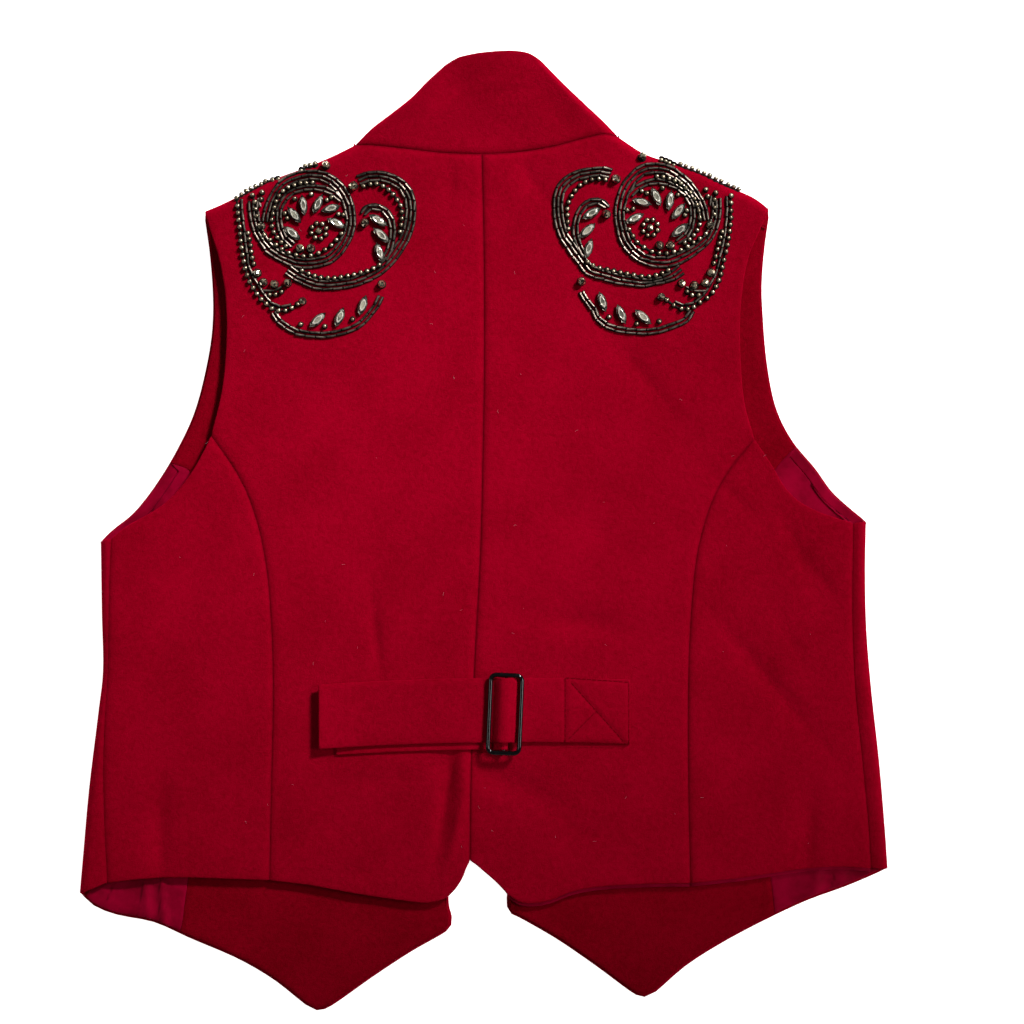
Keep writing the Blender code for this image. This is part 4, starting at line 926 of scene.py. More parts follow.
def front_lining(side, facing_line):
    """The lining of one front, between the facing and the side fold, with its small pleats."""
    middle = inside(side, "lining")
    seam = inset(facing_line, SEAM_GAP + 0.3, middle)
    seam[-1] = seam[-2] + (seam[-1] - seam[-2]) * 0.6
    fold = inset(through(side["side_fold"], SIDE_ROWS), FROM_FOLD / 2, middle)
    top = inset(between(side["armhole_front"], fold[-1], seam[-1], LINING_COLUMNS), BAND_IN, middle)
    hem_curve = side["hem_front"] + side["hem_tip"][1:]
    bottom = inset(between(hem_curve, fold[0], seam[0], LINING_COLUMNS), HEM_IN, middle)
    fold[0], fold[-1], bottom[-1], top[-1] = bottom[0], top[0], seam[0], seam[-1]
    plan = patch(bottom, top, fold, seam)
    x, y, name = plan[..., 0], plan[..., 1], side["name"]
    slant = x - (y - PLEAT_LOW) * PLEAT_SLANT * side["sign"]
    pleats = sum(rise * np.exp(-(((slant - at) / wide) ** 2)) for at, wide, rise in LINING_PLEATS[name])
    wave = LINING_LIFT + LINING_RIPPLE * ripple(x, y, *LINING_WAVE) + pleats * smooth_step(-y, *PLEATS_FADE)
    lift = np.maximum(wave, LEAST_LIFT)
    inside_sheet("front_lining_", plan, side, LINING, LINING_CLOTH, lift, PLEAT_SHADE_LINES[name])


def armhole_band(side):
    """The band that finishes the armhole: a strip from the edge inwards, a little thicker than the lining."""
    name = side["name"]
    edge = between(side["armhole_front"], side["armhole_front"][0], side["facing_edge"][-1], BAND_STEPS)
    plan = np.stack([inset(edge, amount, inside(side, "lining")) for amount in BAND_INSETS], axis=1)
    top = on_wool(plan, WOOL + SEAM_GAP / 2 + BAND)
    faces = grid_faces(numbers(plan))
    if point_normals(top, faces)[:, 2].mean() < 0:
        faces = turned(faces)
    piece = cloth_wall("armhole_band_" + name, top, faces, BAND, LINING_CLOTH, bulge=BAND_BULGE)


for side in SIDES:
    front_lining(side, front_facing(side))
    armhole_band(side)

# %% [markdown]
# ## The collar
#
# The stand collar is one flattened tube, open at the centre front: front, fold, back, fold, front. It is
# stiffened, so its wall is thicker and its folds are rounder than the body's.

# %% Collar
COLLAR_ROWS, COLLAR_BULGE = 30, 0.2
SEAM_SHARE = 0.25  # of the collar's height: here it follows the neck's own roll
ROUND_THE_FOLD = np.sin(np.array([*ROLL_ANGLES[::-1], math.pi / 2]))
ABOVE_BACK_NECK, ABOVE_FRONT_NECK = (0, 400), (0, 260)  # places to say which way inwards is


def collar_layer(side, edge_name, top_edge, inwards, fold):
    """One layer of half the collar: its columns round the diagonal fold, and its flat part."""
    bottom = inset(neck_seam(side, edge_name), SEAM_IN, inwards)
    top = from_fold(top_edge, fold, NECK_COLUMNS)
    bottom[0], top[0] = fold[0] + SEAM_GAP * unit(fold[1] - fold[0]), fold[-1]
    share = np.linspace(0, 1, len(fold))[:, None]
    ways = [(bottom[k] - fold[0], top[k] - fold[-1]) for k in range(ROLL + 1)]
    roll = np.stack([fold + (1 - share) * low + share * high for low, high in ways], axis=1)
    end = np.linspace(bottom[-1], top[-1], COLLAR_ROWS + 1)
    return roll, patch(bottom[ROLL:], top[ROLL:], roll[:, -1], end)


def half_collar(side):
    """Half the collar, from the centre front round the fold to the centre back."""
    sign = side["sign"]
    fold = through(side["collar_fold"], COLLAR_ROWS)
    back_top = COLLAR_TOP if sign < 0 else COLLAR_TOP[::-1]
    middle_top = through(back_top, 2 * NECK_COLUMNS)[NECK_COLUMNS]
    back_top = [place for place in back_top if (place[0] - middle_top[0]) * sign > 1] + [tuple(middle_top)]
    over_roll, over = collar_layer(side, "neck", back_top, ABOVE_BACK_NECK, fold)
    under_roll, under = collar_layer(side, "front_neck", side["collar_front_top"], ABOVE_FRONT_NECK, fold)
    near_neck = np.clip(1 - np.linspace(0, 1, COLLAR_ROWS + 1) / SEAM_SHARE, 0, 1)[:, None]
    over_share = 1 - (1 - rolled(over[..., 0], over[..., 1])) * near_neck
    under_part = lower(under_roll[:, -2:0:-1], ROUND_THE_FOLD[-2:0:-1])
    over_part = upper(over_roll[:, :-1], ROUND_THE_FOLD[:-1])
    return np.concatenate([lower(under[:, ::-1]), under_part, over_part, upper(over, over_share)], axis=1)


def collar():
    """Both halves as one wall."""
    points = np.concatenate([half_collar(LEFT), half_collar(RIGHT)[:, -2::-1]], axis=1)
    faces = grid_faces(numbers(points))
    piece = cloth("collar", "collar", points, faces, COLLAR_WALL, WOOL_CLOTH, bulge=COLLAR_BULGE)
    # painted shade along the neck seam
    paint_shade_lines(piece, SEAM_SHADES[1:2])


collar()

# %% [markdown]
# ## Half belt
#
# The belt draws the back's waist in. The wide strap is sewn down at its right end with a box and a cross,
# passes over the slider's bar and lies free to the left. The lower strap comes from the left, goes under
# the bar, round it and a little way back over itself. A stitch pulls the cloth in, so a small groove runs
# along every row.

# %% Straps and the sewn box
BELT_Y, LOOP_STRAP_Y, BELT_ARCH, BELT_HIGH_X, ARCH_HALF = -108.2, -112.9, 2.6, 20.0, 95
SLIDER_X, SLIDER_Y, SLIDER_LEAN = 12.9, -110.4, math.radians(2.4)
BELT_HALF, LOOP_STRAP_HALF, BAR_LIFT, FRAME_LIFT, BAR_WIRE, SLIDER_WIRE = 18.9, 18.6, 3.3, 6.2, 1.8, 2.8
BELT_LIFT, RIPPLE, BELT_WAVE = 2.6, 0.16, (24, 21)  # the sewn end above the back, and the straps' ripple
TILT_REACH = 30  # how far from the slider its lean turns the straps
UPPER_STEPS, UPPER_ROWS, LOWER_STEPS, LOWER_ROWS = 230, 48, 110, 30
STITCH_DIP, STITCH_SPREAD, EDGE_DIP, EDGE_SPREAD = 0.45, 1.3, 0.25, 1.2
# the stitch rows also get painted shade in the strap's colour: how dark and how wide it is
STITCH_SHADE, STITCH_REACH = 0.52, 1.2  # how dark and how wide a row of stitches shows
UPPER_CUT, LOWER_CUT, LOOP_CLEAR = 0.19, 0.115, 0.4  # cut lengths in metres; room round the bar
UPPER_STRAP = [  # (distance from the slider, lift)
    (-111, 6.2), (-96, 4.9), (-80, 4.1), (-50, 4), (-20, 4), (-11, 4), (-7.6, 4.4), (-5.4, 6.4), (-2.8, 8.3),
    (0, 8.8), (2.8, 8.2), (5.4, 6.2), (8, 4.2), (11, 3.4), (18, 2.6), (45, 2.6), (74.5, 2.6),
]
LOWER_STRAP = [(-101, 0.5), (-70, 0.5), (-40, 0.5), (-15, 0.5), (-6, 0.6)]
LOWER_STRAP_TAIL = [(-3.8, 3.9), (-6.2, 3.2)]
BOX = [(49, -88.8), (87.2, -91.5), (87.2, -128.5), (49, -128.0)]
SEAMS_ON_BELT = [
    np.array(line, float)
    for line in ([*BOX, BOX[0]], [(52.4, -91.6), (84, -127)], [(51, -125.6), (66.5, -110)])
]


def strap(name, path, middle_y, half_width, rows):
    """The strap's outer face: its path of (distance from the slider, lift), repeated over its width."""
    across = np.linspace(-half_width, half_width, rows + 1)[:, None]
    x = SLIDER_X + path[:, 0] + across * SLIDER_LEAN * np.exp(-((path[:, 0] / TILT_REACH) ** 2))
    y = middle_y - BELT_ARCH * ((x - BELT_HIGH_X) / ARCH_HALF) ** 2 + across
    print(name, "is", len(path), "x", rows + 1, "points")
    return np.stack([x, y, lie(x, y) + path[:, 1] + RIPPLE * ripple(x, y, *BELT_WAVE)], axis=-1)


def belt():
    """Both straps: the upper one with its stitched grooves, the lower one round the slider's bar."""
    points = strap("the upper strap", through(UPPER_STRAP, UPPER_STEPS), BELT_Y, BELT_HALF, UPPER_ROWS)
    from_edge = BELT_HALF * (1 - np.abs(np.linspace(-1, 1, len(points))))[:, None]
    points[..., 2] -= EDGE_DIP * np.exp(-((from_edge / EDGE_SPREAD) ** 2))
    for seam in SEAMS_ON_BELT:
        far = distance_to(points[..., 0], points[..., 1], seam)
        points[..., 2] -= STITCH_DIP * np.exp(-((far / STITCH_SPREAD) ** 2))
    piece = cloth("upper_strap", "belt_upper_strap", points, grid_faces(numbers(points)), STRAP, WOOL_CLOTH)
    # painted shade along the stitched box and cross
    paint_shade_lines(piece, [(seam, STITCH_SHADE) for seam in SEAMS_ON_BELT], STITCH_REACH)
    turns = np.radians(np.linspace(-90, 120, 22))  # from under the bar round and back over it
    radius = BAR_WIRE / 2 + LOOP_STRAP + LOOP_CLEAR
    round_bar = zip(radius * np.cos(turns), BAR_LIFT + radius * np.sin(turns))
    path = along(np.array([*LOWER_STRAP, *round_bar, *LOWER_STRAP_TAIL]), LOWER_STEPS)
    points = strap("the lower strap", path, LOOP_STRAP_Y, LOOP_STRAP_HALF, LOWER_ROWS)
    faces = grid_faces(numbers(points), True)
    piece = cloth("lower_strap", "belt_lower_strap", points, faces, LOOP_STRAP, WOOL_CLOTH)


belt()

# %% [markdown]
# ## Slider
#
# The slider is bent from steel wire and enamelled black: a rounded frame, and a bar that dips so that the
# strap can pass over it.

# %% Slider
SLIDER_WIDTH, SLIDER_HEIGHT, SLIDER_CORNER = 21.6, 49.5, 3.4
WIRE_SIDES, FRAME_STEPS, BAR_STEPS = 18, 150, 60
BAR_CLEAR = LOOP_STRAP_HALF + 3.0
BEND_OUT, BEND_IN, BEND_SHARE = 1.2, 0.6, 0.7  # where the bar dips at each end, and how far it has sunk


def enamel():
    """Glossy black over steel: a few dull marks, and the faint waves of a dipped coat."""
    shine = {"Coat_Weight": 0.7, "Coat_Roughness": 0.05, "Specular_IOR_Level": 0.2}
    coat = Finish("slider_enamel", "gloss_black", **shine)
    marks = coat.noise(240, 5, 0.7).above(0.45, 0.75)
    colour = coat.mix(marks, (0.0025, 0.0025, 0.003), (0.009, 0.009, 0.010))
    waves = coat.bump(coat.noise(500, 2, 0.5), 0.00002, 0.3)
    return coat.wear(Base_Color=colour, Roughness=marks * 0.15 + 0.08, Normal=waves)


def tube(path, radius, is_closed):
    """A round wire: a ring of points round each point of a path, in the plane across it."""
    step = np.roll(path, -1, axis=0) - np.roll(path, 1, axis=0) if is_closed else np.gradient(path, axis=0)
    step = unit(step)
    side = unit(np.cross(step, [0.0, 0, 1]), 1e-6)
    top = np.cross(side, step)
    turn = np.linspace(0, math.tau, WIRE_SIDES, endpoint=False)[None, :, None]
    ring = path[:, None] + radius * (np.cos(turn) * side[:, None] + np.sin(turn) * top[:, None])
    index = numbers(ring, closed=True)
    return ring.reshape(-1, 3), grid_faces(np.concatenate([index, index[:1]]) if is_closed else index)


def together(*parts):
    """Several (points, faces) as one."""
    firsts = np.cumsum([0] + [len(points) for points, _ in parts[:-1]])
    faces = [faces + first for (_, faces), first in zip(parts, firsts)]
    return np.vstack([points for points, _ in parts]), np.vstack(faces)


def slider():
    """Frame and bar as one piece, turned by the slider's lean and stood on the back."""
    corner = SLIDER_CORNER
    half_w, half_h = SLIDER_WIDTH / 2 - SLIDER_WIRE / 2, SLIDER_HEIGHT / 2 - SLIDER_WIRE / 2
    angle = np.radians(90 * np.arange(4)[:, None] + np.linspace(0, 90, 9))
    sign_x, sign_y = np.array([1, -1, -1, 1])[:, None], np.array([1, 1, -1, -1])[:, None]
    frame_x = sign_x * (half_w - corner) + corner * np.cos(angle)
    frame_y = sign_y * (half_h - corner) + corner * np.sin(angle)
    loop = np.stack([frame_x.ravel(), frame_y.ravel(), np.full(frame_x.size, FRAME_LIFT)], axis=1)
    loop = along(np.vstack([loop, loop[:1]]), FRAME_STEPS)[:-1]
    bend = FRAME_LIFT - (FRAME_LIFT - BAR_LIFT) * BEND_SHARE
    ends = [(0, -half_h, FRAME_LIFT), (0, -BAR_CLEAR - BEND_OUT, bend), (0, -BAR_CLEAR + BEND_IN, BAR_LIFT)]
    bar = through(ends + [(0, -y, z) for _, y, z in ends[::-1]], BAR_STEPS)
    points, faces = together(tube(loop, SLIDER_WIRE / 2, True), tube(bar, BAR_WIRE / 2, False))
    cos, sin = math.cos(-SLIDER_LEAN), math.sin(-SLIDER_LEAN)
    x = points[:, 0] * cos - points[:, 1] * sin + SLIDER_X
    y = points[:, 0] * sin + points[:, 1] * cos + SLIDER_Y
    z = points[:, 2] + float(lie(np.array(SLIDER_X), np.array(SLIDER_Y)))
    piece = mesh_piece("slider", np.stack([x, y, z], axis=1), faces, enamel())
    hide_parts("slider_buckle")
    print("slider", len(piece.data.polygons), "faces")


slider()

# %% [markdown]
# ## Beads and stones: the finishes
#
# The tubes are gunmetal glass, and the round beads are cast metal with antique brass plating. Both are dark
# where they turn down to the cloth: patina and painted shade. The leaves are foil-backed crystal, each in a
# cup with claws, so their facets shine like small mirrors, and their glints and dark reflections are painted
# into the colour as well.

# %% Bead, brass and crystal finishes
POLISHED = {"Coat_Weight": 1.0, "Coat_Roughness": 0.02}
# near black: patina and painted shade where a bead turns down to the cloth
PATINA_AND_SHADE = (0.006, 0.005, 0.004)
# the width of a cell of painted glints and dark reflections
GLINT_CELL = 1.15  # millimetres


def aged_metal(name, dark, bright, rough, size):
    """Metal that varies from bead to bead, and is near black where it turns down to the cloth: patina and
    painted shade, set by how far each point faces up.
    """
    metal = Finish(name, "bead_metal", Metallic=0.85, Specular_IOR_Level=0.6)
    tone = metal.noise(size, 3, 0.6).above(0.36, 0.64)
    grime = metal.noise(1400, 4, 0.6)
    normal = metal.node("ShaderNodeTexCoord", {}, output=1)
    # painted shade with patina: points that face less upwards turn near black
    up = metal.node("ShaderNodeSeparateXYZ", {0: normal}, output=2).above(0.42, 0.94)
    colour = metal.mix(up, PATINA_AND_SHADE, metal.mix(tone, dark, bright))
    pits = metal.bump(grime, 0.00006, 0.5)
    return metal.wear(Base_Color=colour, Roughness=grime * 0.25 + rough, Normal=pits)


def cut_glass():
    """Foil-backed glass with painted glints and painted dark reflections: each small cell of the pattern is
    dark or bright, as one facet would reflect.
    """
    glass = Finish("cut_bead_glass", "bead_metal", Metallic=0.8, Roughness=0.08, **POLISHED)
    tone = glass.glint_cells(1000 / GLINT_CELL, 0.25, 0.75)
    return glass.wear(Base_Color=glass.mix(tone, (0.05, 0.038, 0.026), (0.98, 0.84, 0.58)))


def leaf_crystal():
    """The leaves' glass with painted reflections: a bright oval ring, bright and dark cells, and a darker
    outside.
    """
    glass = Finish("leaf_crystal", "stone", Metallic=0.35, Roughness=0.12, **POLISHED)
    # painted reflections: bright and dark cells, a bright ring as a painted highlight, and the outer part
    # darker than the middle
    tone, share = glass.glint_cells(420, 0.2, 0.8), glass.mark("share")
    ring = share.above(0.40, 0.47) * (1 - share.above(0.60, 0.68))
    middle = glass.mix(tone, (0.22, 0.21, 0.17), (0.70, 0.65, 0.50))
    outside = glass.mix(tone, (0.06, 0.06, 0.055), (0.50, 0.48, 0.41))
    colour = glass.mix(ring, glass.mix(share.above(0.5, 0.62), middle, outside), (1.0, 0.95, 0.80))
    return glass.wear(Base_Color=colour)


def fibre(name, slot, noise, dark, light, rough, shine):
    """A dull thread or hair of uneven colour."""
    spun = Finish(name, slot, Roughness=rough, Specular_IOR_Level=shine)
    return spun.wear(Base_Color=spun.mix(spun.noise(*noise), dark, light))


TUBE_GLASS = aged_metal("tube_bead_glass", (0.065, 0.054, 0.045), (0.31, 0.245, 0.20), 0.28, 190)
BRASS = aged_metal("round_bead_brass", (0.30, 0.235, 0.155), (0.76, 0.64, 0.45), 0.22, 300)
CUP = aged_metal("stone_cup_metal", (0.06, 0.05, 0.04), (0.24, 0.21, 0.17), 0.24, 400)
CRYSTAL, CUT_BEAD = leaf_crystal(), cut_glass()
SPOOLS = {  # name: (slot, noise, dark, light, roughness, shine)
    "sewing_thread": ("thread", (900, 3, 0.6), (0.13, 0.0002, 0.004), (0.24, 0.0003, 0.009), 0.8, 0.0),
    # the beading thread's near black also serves as painted shade under and round the beads
    "beading_thread_and_shade": ("thread", (800, 3, 0.6), (0.006, 0.004, 0.004), (0.022, 0.012, 0.011), 0.6, 0.1),
    "lint_fibre": ("lint", (500, 2, 0.5), (0.38, 0.20, 0.21), (0.70, 0.50, 0.49), 0.9, 0.5),
}
THREAD, BEADING_AND_SHADE, LINT = (fibre(name, *row) for name, row in SPOOLS.items())
print("finishes:", len(bpy.data.materials))

# %% [markdown]
# ## Setting small things on the cloth
#
# Each bead is a small template, and every copy gets its own place, direction and size. The whole band is
# made in one step: template points times a frame of three directions, plus the place on the cloth.

# %% Templates and placing
BEADS_AT = {"left": (-103.6, 184.6), "right": (104.2, 186.4)}
THREAD_LIFT = 0.25
SLOPE_STEP = 0.4  # how far to each side the cloth's slope is measured


def lathe(profile, sides, upright=False):
    """A turned shape from (along, radius) rows, lying along the first axis or standing on the third."""
    profile = np.asarray(profile, float)
    turn = np.linspace(0, math.tau, sides, endpoint=False)
    shape = [profile[:, :1], profile[:, 1:] * np.cos(turn), profile[:, 1:] * np.sin(turn)]
    points = np.stack(np.broadcast_arrays(*shape), axis=-1)
    faces = grid_faces(numbers(points, closed=True))
    return np.roll(points, 2 if upright else 0, axis=-1).reshape(-1, 3), faces


TUBE = lathe([(-0.5, 0), (-0.5, 0.34), (-0.455, 0.5), (0.455, 0.5), (0.5, 0.34), (0.5, 0)], 8)
SHADE_SEAT = lathe([(0, 0.62), (0.10, 0.58), (0.14, 0)], 10, upright=True)
ROUND = lathe([(-0.5, 0), (-0.45, 0.22), (-0.2, 0.46), (0.2, 0.46), (0.45, 0.22), (0.5, 0)], 9)
CUT = lathe([(-0.48, 0), (-0.46, 0.2), (-0.22, 0.44), (0, 0.5), (0.22, 0.44), (0.46, 0.2), (0.48, 0)], 8)
CLAW = lathe([(-0.5, 0), (-0.4, 0.35), (0.4, 0.35), (0.5, 0)], 6)
STITCH = lathe([(-0.5, 0), (-0.46, 0.3), (-0.25, 0.5), (0.25, 0.5), (0.46, 0.3), (0.5, 0)], 6)


def on_cloth(places):
    """Points on the upper cloth, and at each the direction away from the cloth: (-dz/dx, -dz/dy, 1)."""
    places = np.asarray(places, float)
    slopes = []
    for step in ((SLOPE_STEP, 0), (0, SLOPE_STEP)):
        rise = upper(places + step)[:, 2] - upper(places - step)[:, 2]
        slopes.append(rise / (2 * SLOPE_STEP))
    return upper(places), unit(np.stack([-slopes[0], -slopes[1], np.ones(len(places))], axis=1))


RIGHT_STRAYS = [  # (x, y, inwards, up) in the chart; inwards is towards the centre back
    (8.8, 33.8, 0.2, 3.5), (0, 30.7, -1.1, 2.4), (26.5, 6.9, -1, 0.2), (1.4, -27.2, -1.8, -1.8),
    (-28.4, 0, -2.5, -1), (-36, -3, -1.5, -1.3), (25.5, 22.2, -0.9, 2.7), (32, -0.6, -1.9, 4.4),
    (38.2, 10.5, -1.1, 1.8), (60, 5, -0.7, 0.4), (50, -22, -0.2, 0.8), (25, -35.5, 0, 0.4),
    (41.8, -44.8, 4, 1.5), (42.4, -37.5, 3.1, -0.6), (27.4, -63.6, 4.4, -0.8), (17.5, -57, 4.6, 0),
    (4.3, -58.6, 4.7, 0), (-5.8, -61.5, 5.6, 0), (-22.7, -55, 2, -1), (-5.1, -47.5, 3, 1.1),
    (-15.3, -52.7, 0.3, -0.9), (-14.3, -36.8, -1.1, -1.9), (-22, -37.3, 0, -3), (-28.8, -36.4, -0.4, -2.4),
    (-32.6, -30.6, 0.6, -1.5), (-43, -8, -0.9, 0), (-36, -39.5, -1.3, -0.3), (4.1, 10.7, -4.4, 3.4),
    (-4.3, 9.9, -3.4, 0.9), (-9.7, 4.2, -3.3, 0.4), (-11.2, -6.9, -2.7, 0), (12.1, 8.4, -3.1, 2.2),
    (15.2, -0.4, -1.9, 1.1), (-18.5, 3, -2.4, 0), (4.9, -5.6, -0.4, 0), (-3.3, -16.2, -1.4, 0.2),
    (-30, -5, -1.2, -1.5),
]
STRAY_REACH, STRAY_REST = 7.0, 0.12


def shoulder(side, places):
    """Places in the beadwork, from the middle of its roundel. The right one is mirrored, and its bands
    stray as measured: each row pulls the places near it, with a bell-shaped weight."""
    places = np.asarray(places, float).reshape(-1, 2)
    if side is LEFT:
        return BEADS_AT["left"] + places
    rows = np.array(RIGHT_STRAYS, float)
    weight = np.exp(-(((places[:, None] - rows[None, :, :2]) / STRAY_REACH) ** 2).sum(2))
    shift = weight @ rows[:, 2:] / (weight.sum(1) + STRAY_REST)[:, None]
    return BEADS_AT["right"] + (places + shift) * (-1, 1)


def copies(template, places, along_way, sizes, lift):
    """Copies of a template: its first axis lies along along_way, its third stands on the cloth."""
    points, faces = template
    base, away = on_cloth(places)
    ahead = np.column_stack([along_way, np.zeros(len(along_way))])
    ahead = unit(ahead - (ahead * away).sum(1)[:, None] * away)
    turns = np.stack([ahead, np.cross(away, ahead), away], axis=1)
    sizes = np.broadcast_to(sizes, (len(places), 3))
    placed = (points[None] * sizes[:, None]) @ turns + (base + away * np.reshape(lift, (-1, 1)))[:, None]
    all_faces = faces[None] + (np.arange(len(places)) * len(points))[:, None, None]
    return placed.reshape(-1, 3), all_faces.reshape(-1, 4)


TUBE_LENGTH, TUBE_WIDTH, TUBE_SPACE, TUBE_GAP = 5.9, 1.42, 0.45, 0.62
BEAD_SIZE, BEAD_SHAPE, BEAD_SEATED = 2.95, (1.0, 1.0, 0.94), 0.47
TUBE_TURN, TUBE_STRAY, BEAD_STRAY = 0.055, 0.09, 0.10  # how unevenly a hand sews
TUBE_WIDTHS, BEAD_WIDTHS = (0.9, 1.08), (0.93, 1.07)  # least and most, as shares


def tube_row(side, line):
    """Tube beads end to end along a line in the beadwork: straight beads, so a curve becomes chords."""
    line = shoulder(side, line)
    count = max(1, round(step_lengths(line).sum() / (TUBE_LENGTH + TUBE_SPACE)))
    knots = along(line, count)
    chord, far = np.diff(knots, axis=0), step_lengths(knots)
    chord = chord + rng.normal(0, TUBE_TURN, chord.shape) * far[:, None]
    places = (knots[1:] + knots[:-1]) / 2 + rng.normal(0, TUBE_STRAY, chord.shape)
    wide = TUBE_WIDTH * rng.uniform(*TUBE_WIDTHS, count)
    return copies(TUBE, places, chord, np.stack([far - TUBE_GAP, wide, wide], axis=1), THREAD_LIFT + wide / 2)


def round_beads(side, places, size=BEAD_SIZE, template=ROUND):
    """Round beads at given places, each turned its own way."""
    places = shoulder(side, places)
    places = places + rng.normal(0, BEAD_STRAY, places.shape)
    size = np.reshape(size, (-1, 1)) * rng.uniform(*BEAD_WIDTHS, (len(places), 1)) * BEAD_SHAPE
    ways = rng.uniform(-1, 1, (len(places), 2))
    return copies(template, places, ways, size, THREAD_LIFT + size[:, 2] * BEAD_SEATED)


print("a tube bead has", len(TUBE[1]), "faces and a round one", len(ROUND[1]))

# %% [markdown]
# ## The shoulder pattern
#
# The chart follows the scrollwork line by line: each band is a curve through places measured in millimetres
# from the middle of the roundel, and a row of round beads is such a curve with a count. Leaves, faceted and
# single beads have measured places too. The right shoulder is the left one mirrored and then moved by the
# measured strays, with its own rows along the fold. Every bead is laid a little differently, as hand sewing
# does.

# %% Chart of the beadwork
ROUNDEL = [  # (angle, radius)
    (160, 36.8), (172, 34.4), (187, 32.4), (199, 30.9), (214, 29.5), (227, 27.9), (242, 26.5), (259, 25.7),
    (290, 25), (309, 24.4), (329, 23.7), (346, 23.8), (361, 24.1), (380, 24.7), (398, 25.9), (415, 27.2),
    (429, 28), (441, 28.2), (458, 27.9), (475, 27.9), (488, 27.8), (502, 26.8), (519, 26), (530, 26),
    (541, 26.4),
]
ROW = 2.42
TUBE_BANDS = {  # band: (offsets of its rows in row widths, its middle line)
    "inner_arc": ((-0.5, 0.5), [(-10.2, -14.3), (-16.3, -9), (-18.6, -2.1), (-19, 5.8), (-16.4, 12.8),
        (-10.9, 17.9), (-2.5, 20.4), (6.7, 20), (13.5, 17.1), (18.4, 12.6)]),
    "scroll": ((-1, 0, 1), [(28.5, 24.7), (34.2, 26.9), (42.6, 27.2), (50.3, 24.7), (55.6, 20.9),
        (58.7, 16.3), (60.1, 9.4), (59.8, 1.8), (58.3, -5.1), (55.2, -12), (49.5, -20.8), (43.4, -27.3),
        (38, -31.1), (31.1, -34.2), (24.3, -36.5), (13.5, -37.9), (5.1, -37.9), (-2.5, -35.7), (-8.6, -32.7),
        (-14, -28.8)]),
    "hook": ((-0.5, 0.5), [(31.1, 4.4), (33.4, 7.9), (39.2, 8.9), (44.8, 6.4), (48.2, 1.4), (49.3, -5.1),
        (48.7, -11.2), (47.2, -16.6), (44.1, -22.7)]),
    "crescent": ((-0.5, 0.5), [(42.2, -44.5), (39.9, -49.5), (36.5, -54.1), (31.5, -59.8), (25.8, -63.7),
        (17.4, -66.5), (8.2, -67.9), (-1.8, -67.5), (-7.9, -66.3), (-14, -63.3), (-19.7, -58.7),
        (-22.4, -54.1)]),
    "armhole_line": ((0,), [(-41.7, 13.6), (-41.1, 6.4), (-40.2, -2.1), (-39.3, -10.5), (-38.3, -18.1),
        (-37.4, -25), (-35.6, -30.8), (-32.7, -35.7), (-29.3, -41.1), (-25.1, -47.2), (-20.9, -50.3),
        (-15.9, -51), (-11.7, -49.6)]),
}
ROUND_ROWS = [  # (count, line)
    (16, [(1.3, 23.3), (-6.4, 22.8), (-14.4, 19.9), (-19.8, 14), (-22.2, 6.4), (-23.4, 0.2), (-22.6, -5.5),
        (-18.1, -12), (-14.8, -14.7)]),
    (13, [(-27.8, -8), (-22.3, -12.8), (-15.1, -18.1), (-10.2, -19.7), (-4.8, -20.6), (-0.1, -20.4),
        (5.1, -18.9), (12.4, -14.2), (18.3, -7.4)]),
    (22, [(-44.3, 13.6), (-43.5, 5.6), (-42.7, -3.2), (-41.7, -12.8), (-40.2, -23.5), (-38.1, -31.9),
        (-35, -38.8), (-30.1, -46.1), (-24.6, -50.9), (-21.5, -52.8), (-16.9, -53.5), (-13.4, -52.9),
        (-10.6, -51.2), (-7.9, -49.3)]),
    (6, [(-37.7, -7), (-36.3, -13.9), (-35.3, -21.6), (-34.3, -25.4)]),
    (12, [(31.8, 21.4), (38.6, 22.6), (45.1, 20.4), (51, 14.5), (54.3, 7.7), (54.5, 0.5), (53.6, -6.1)]),
    (13, [(41.1, -26.2), (34.2, -29.6), (26, -31.8), (18, -33.4), (9.3, -34), (1.5, -32.3), (-5.2, -29.6)]),
    (4, [(-35, 15.5), (-33.5, 10.8), (-32.4, 3.4)]),
    (3, [(-24.6, -43.8), (-20.9, -43.8), (-17.6, -42)]),
]
EDGE_ROWS = {  # the rows that follow each shoulder's fold
    "left": [
        (8, [(-41.4, 15.8), (-34.3, 19.8), (-27, 23.6), (-20.4, 27)]),
        (4, [(-6.2, 31.8), (-1, 32.9), (2.8, 33.8)]),
    ],
    "right": [
        (12, [(-48.6, 16.9), (-37.4, 21.9), (-27.2, 26.9), (-17, 30.6), (-9.6, 32.4)]),
        (3, [(-7, 33), (-2, 34.4)]),
    ],
}
SINGLE_ROUNDS = [
    (-9.6, 13.6), (-15.4, 4.8), (-14, 1.9), (0.3, 16.3), (12.4, 14.5), (9.7, 12.9), (16.6, 4.4), (19.8, 4.1),
    (-6, -61.6), (8.4, -62.9), (25, -58.5), (-29.1, 17.4), (-29.6, 13.4),
]
SHORT_TUBES = [  # pairs of ends
    ((-32, 14.2), (-29.7, 8.6)), ((-29.3, -41.5), (-21.7, -41.3)), ((-21.7, -41.3), (-16.4, -38.4)),
]
FACETED = [  # (x, y, size)
    (-29.7, -2.8, 4.4), (25.6, 21.3, 4.9), (32.1, -0.8, 4.7), (42.5, -37.6, 4.6), (-6.5, -16.2, 4.8),
    (-0.1, -16.2, 4.8), (-32.2, -30.8, 4.6), (-28.5, -36.5, 4.6), (-22, -37.6, 4.6), (-14, -36.9, 4.5),
    (-5, -47.8, 4.2), (4.9, -5.6, 3.8), (9.2, 33.6, 4.5),
]
